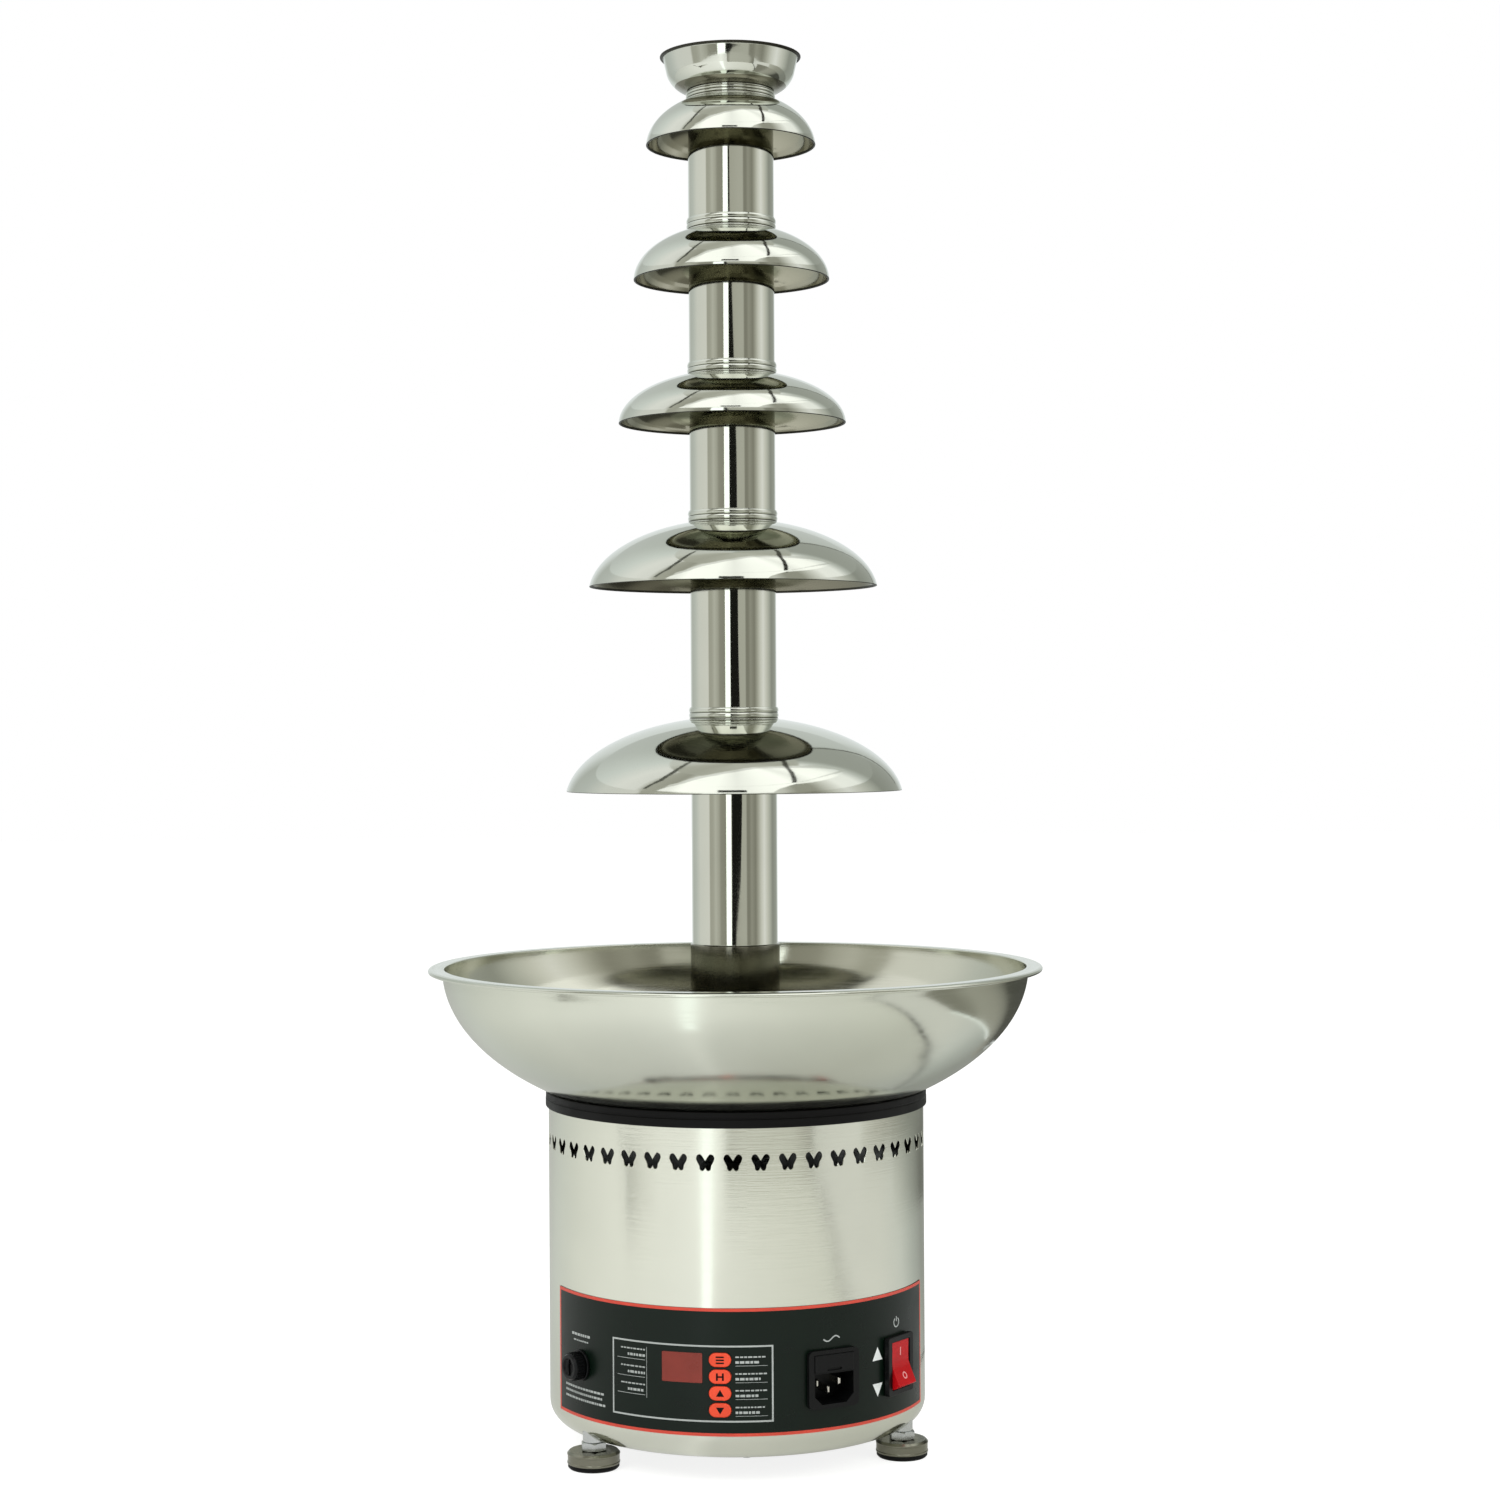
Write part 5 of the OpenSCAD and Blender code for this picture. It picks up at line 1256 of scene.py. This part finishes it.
# From below the paper is clear, so that the underside of the fountain can be looked at
below = add(tree, "ShaderNodeNewGeometry").outputs["Backfacing"]
clear = add(tree, "ShaderNodeBsdfTransparent")
one_way = add(tree, "ShaderNodeMixShader", {0: below, 1: mixed.outputs[0], 2: clear.outputs[0]})
add(tree, "ShaderNodeOutputMaterial", {0: one_way.outputs[0]})
floor_mesh = bpy.data.meshes.new("floor")
floor_mesh.from_pydata([(-9, -9, 0), (9, -9, 0), (9, 9, 0), (-9, 9, 0)], [], [(0, 1, 2, 3)])
floor_mesh.materials.append(floor_paper)
placed("floor", floor_mesh)


def card(name, stops, rows, lift=0.0, flat=False):
    """A card for reflections alone. Each row is (elevation, first azimuth, last azimuth) on the room's
    dome, or for a flat card (distance, first, last) on the floor. stops are levels by azimuth, or
    one level for all of it."""
    if isinstance(stops, float):
        stops = ((-180, stops), (180, stops))
    material, tree = blank_material(name)
    light = add(tree, "ShaderNodeEmission", {"Color": greys(tree, stops), "Strength": 2.0})
    add(tree, "ShaderNodeOutputMaterial", {0: light.outputs[0]})
    points, columns = [], 60
    for height, first, last in rows:
        for k in range(columns + 1):
            a = math.radians(CAMERA_AZIMUTH + first + (last - first) * k / columns)
            e = math.radians(height)
            reach = height if flat else (ROOM_R - lift) * math.cos(e)
            z = 0.0004 + lift if flat else max(0.001, ROOM_MID + (ROOM_R - lift) * math.sin(e))
            points.append((reach * math.sin(a), -reach * math.cos(a), z))
    wide = columns + 1
    faces = [(i * wide + k, i * wide + k + 1, (i + 1) * wide + k + 1, (i + 1) * wide + k)
             for i in range(len(rows) - 1) for k in range(columns)]
    mesh = bpy.data.meshes.new(name)
    mesh.from_pydata(points, [], faces)
    mesh.materials.append(material)
    obj = placed(name, mesh)
    obj.visible_camera = obj.visible_diffuse = obj.visible_shadow = obj.visible_transmission = False


def band(low, high, first=-180, last=180, step=8):
    """Rows for a band of the dome between two elevations."""
    count = max(1, math.ceil((high - low) / step))
    return [(low + (high - low) * k / count, first, last) for k in range(count + 1)]


# Walls of the room up to 26 degrees, as upright stripes
card("walls", ((-180, .9), (-160, .85), (-145, .6), (-125, .7), (-105, .86), (-72, .9), (-69, .5), (-60, .52),
               (-52, .64), (-42, .52), (-37, .38), (-23, .34), (-9, .5), (20, .56), (31, .56), (34, .3),
               (40, .3), (46, .4), (58, .3), (66, .5), (76, .8), (87, 1.0), (98, .8), (110, .6), (122, .38),
               (151, .46), (154, .62), (165, .85), (180, .9)), band(-11, 26))
card("strip light", 1.9, [(-11, -22, -8.5), (8, -22, -8.5), (26, -21, -9)], 0.04)
card("black flag", .012,
     [(-11, -8.5, -2), (-7.7, -8, 4), (-6, -7, 16), (-3.3, -7, 21), (1.7, -8.5, 13), (8.2, -8.5, 11),
      (12, -8.5, 4), (16, -8.5, -4), (26, -8.5, -6)], 0.06)
# Upper walls and ceiling, and a bank of softboxes over the front and the right that fades at its edge
card("upper walls", ((-180, .6), (-150, .7), (-120, .9), (-95, 1.05), (-76, 1.0), (-69, .55), (-50, .45),
                     (-40, .8), (0, .9), (35, .8), (46, .42), (61, .43), (72, .8), (86, 1.25), (104, 1.2),
                     (114, .75), (123, .47), (152, .47), (155, .7), (180, .7)), band(26, 64))
card("ceiling", ((-180, .75), (-105, .8), (-85, .6), (-60, .55), (-20, .62), (15, .65), (77, .65), (98, .58),
                 (150, .6), (180, .75)), band(64, 90))
BANK = ((28, -58, 28), (35, -54, 34), (41, -48, 46), (42.5, -47, 112), (47, -43, 112), (55, -38, 105),
        (60, -33, 98), (65, -24, 90), (70, -14, 78), (74, 4, 64), (77, 30, 48))
BANK_LEVELS = ((-180, 1.2), (-50, 1.3), (-40, 1.6), (-14, 1.55), (2, 1.3), (22, 1.5), (46, 1.6),
               (60, 1.3), (76, 1.55), (96, 1.5), (112, 1.05), (180, 1.0))
for spread, share, lift in ((3, .68, 0.04), (0, 1, 0.05)):
    rows = [(e + spread * (e > 50), first - 2 * spread * (e > 40), last + 2 * spread * (e > 42))
            for e, first, last in BANK]
    card(f"softbox bank {lift}", tuple((a, v * share) for a, v in BANK_LEVELS), rows, lift)
# The seams between the bank's boxes, and the room's corner behind at the right
card("left gap", .12,
     [(30, -71, -68), (40, -70, -67), (47.5, -70, -65.5), (56.6, -75, -70), (62, -81, -74), (65.6, -88, -81),
      (69, -99, -89), (71, -111, -98), (73, -130, -115)], 0.06)
card("right gap", ((-180, .05), (50, .02), (100, .06), (180, .1)),
     [(41, 48, 51), (46, 50, 54.5), (49.3, 52.5, 57.5), (53.5, 56.5, 62), (57.7, 61, 67), (62, 68, 75),
      (66, 77, 84), (68.8, 86, 128), (70.8, 97, 128)], 0.06)
card("back corner", .2,
     [(6.8, 149.6, 151), (17, 152.5, 154), (25, 154, 155.4), (35, 152.8, 154.2), (44.4, 152.2, 153.8),
      (52, 151.5, 153.5)], 0.06)
# Parts of the floor that only the drum and the bowl show: a bright strip, darker far ends, a paler
# sheet at the right, the seams between the sheets, and a dark shelf behind at the right
card("floor strip", 1.7, [(0.36, -18.6, -14.4), (1.7, -20, -13.5)], flat=True)
card("far floor", ((-180, .5), (-4, .42), (0, .62), (34, .58), (41, .3), (180, .3)),
     [(1.26, -6, 44), (3, -6, 44)], flat=True)
card("far floor left", ((-180, .1), (-66, .1), (-60, .3), (-48, .8), (180, .8)),
     [(0.94, -66.5, -64.5), (1.02, -66.5, -58), (1.08, -66.5, -50), (1.18, -67, -45)], flat=True)
card("far floor right", ((-180, .3), (108, .72), (125, .45), (145, .2), (180, .2)),
     [(0.85, 106, 160), (3, 106, 160)], flat=True)
card("far sheet", ((-180, .5), (80, .6), (98, .42), (125, .3), (180, .2)),
     [(1.31, 90, 150), (1.38, 80, 150), (3, 76, 150)], 0.0001, True)
card("pale sheet", ((-180, .9), (60, .9), (90, .88), (110, .8), (125, .6), (145, .38), (180, .3)),
     [(0.28, 104, 178), (0.30, 94, 178), (0.36, 79, 178), (0.44, 71, 178), (0.56, 64, 178), (0.79, 55.5, 178),
      (0.99, 49.5, 178), (1.16, 45.7, 178), (1.28, 44.2, 178), (1.46, 44, 178), (3, 43, 178)], -0.0002, True)
SEAMS = ([(0.264, 98, 150), (0.274, 98, 150)],
         [(0.274, 98, 106), (0.30, 91.5, 97), (0.36, 77, 80.5), (0.44, 69.5, 72), (0.56, 62.8, 64.6),
          (0.79, 54.5, 56.5), (0.99, 48.7, 50.3), (1.16, 45, 46.4), (1.28, 43.4, 44.8), (1.7, 43.2, 44.8)],
         [(1.0, -66, -65), (1.17, -67.5, -66.6), (1.35, -70.9, -70), (1.46, -72.2, -71.2), (1.7, -74, -73)],
         [(1.34, 1.4, 2.4), (1.5, 1.4, 2.4)])
for number, rows in enumerate(SEAMS, 1):
    card(f"floor seam {number}", .03, rows, 0.0002, True)
SHELF = ((.16, 95, 104), (.17, 97, 108), (.19, 99.5, 114), (.2, 95.5, 118), (.21, 89, 121), (.22, 84.4, 124),
         (.24, 75, 130), (.26, 68.7, 136), (.32, 65, 145), (.4, 62.5, 155), (.47, 61, 160), (1, 54, 172))
card("shelf edge", 1.2, [(r - .004, first - 2, last) for r, first, last in SHELF[2:8]],
     0.189, True)
card("dark shelf", ((-180, .05), (60, .28), (75, .3), (85, .45), (98, .4), (106, .3), (114, .09), (180, .05)),
     SHELF, 0.19, True)
card("camera bar", .04, band(29.5, 34, -12, 9), 0.07)


def lamp(name, power, size, place):
    """A square area lamp that looks at the fountain's middle."""
    data = bpy.data.lights.new(name, "AREA")
    data.energy, data.size = power, size
    obj = placed(name, data)
    obj.location = place
    obj.rotation_euler = (Vector((0, 0, 0.4)) - Vector(place)).to_track_quat("-Z", "Y").to_euler()
    obj.visible_glossy = False


lamp("key lamp", 26, 1.2, (-1.3, -1.6, 1.9))
lamp("fill lamp", 14, 1.4, (1.7, -1.3, 1.3))
lamp("back lamp", 12, 1.4, (0.4, 1.8, 2.0))

# Camera: level with the third bell, a little left of the panel's middle, as the photograph has it
camera_data = bpy.data.cameras.new("camera")
camera_data.lens, camera_data.sensor_width = 66.7, 36
camera_data.shift_x, camera_data.shift_y = 0.0107, -0.0131
camera_data.clip_start, camera_data.clip_end = 0.05, 40
camera = placed("camera", camera_data)
distance = 1.591
aim = math.radians(CAMERA_AZIMUTH)
spot = (distance * math.sin(aim), -distance * math.cos(aim), 0.4055)
upright = Matrix.Rotation(aim, 4, "Z") @ Matrix.Rotation(math.pi / 2, 4, "X")
camera.matrix_world = Matrix.Translation(spot) @ upright @ Matrix.Rotation(math.radians(-0.32), 4, "Z")
scene.camera = camera
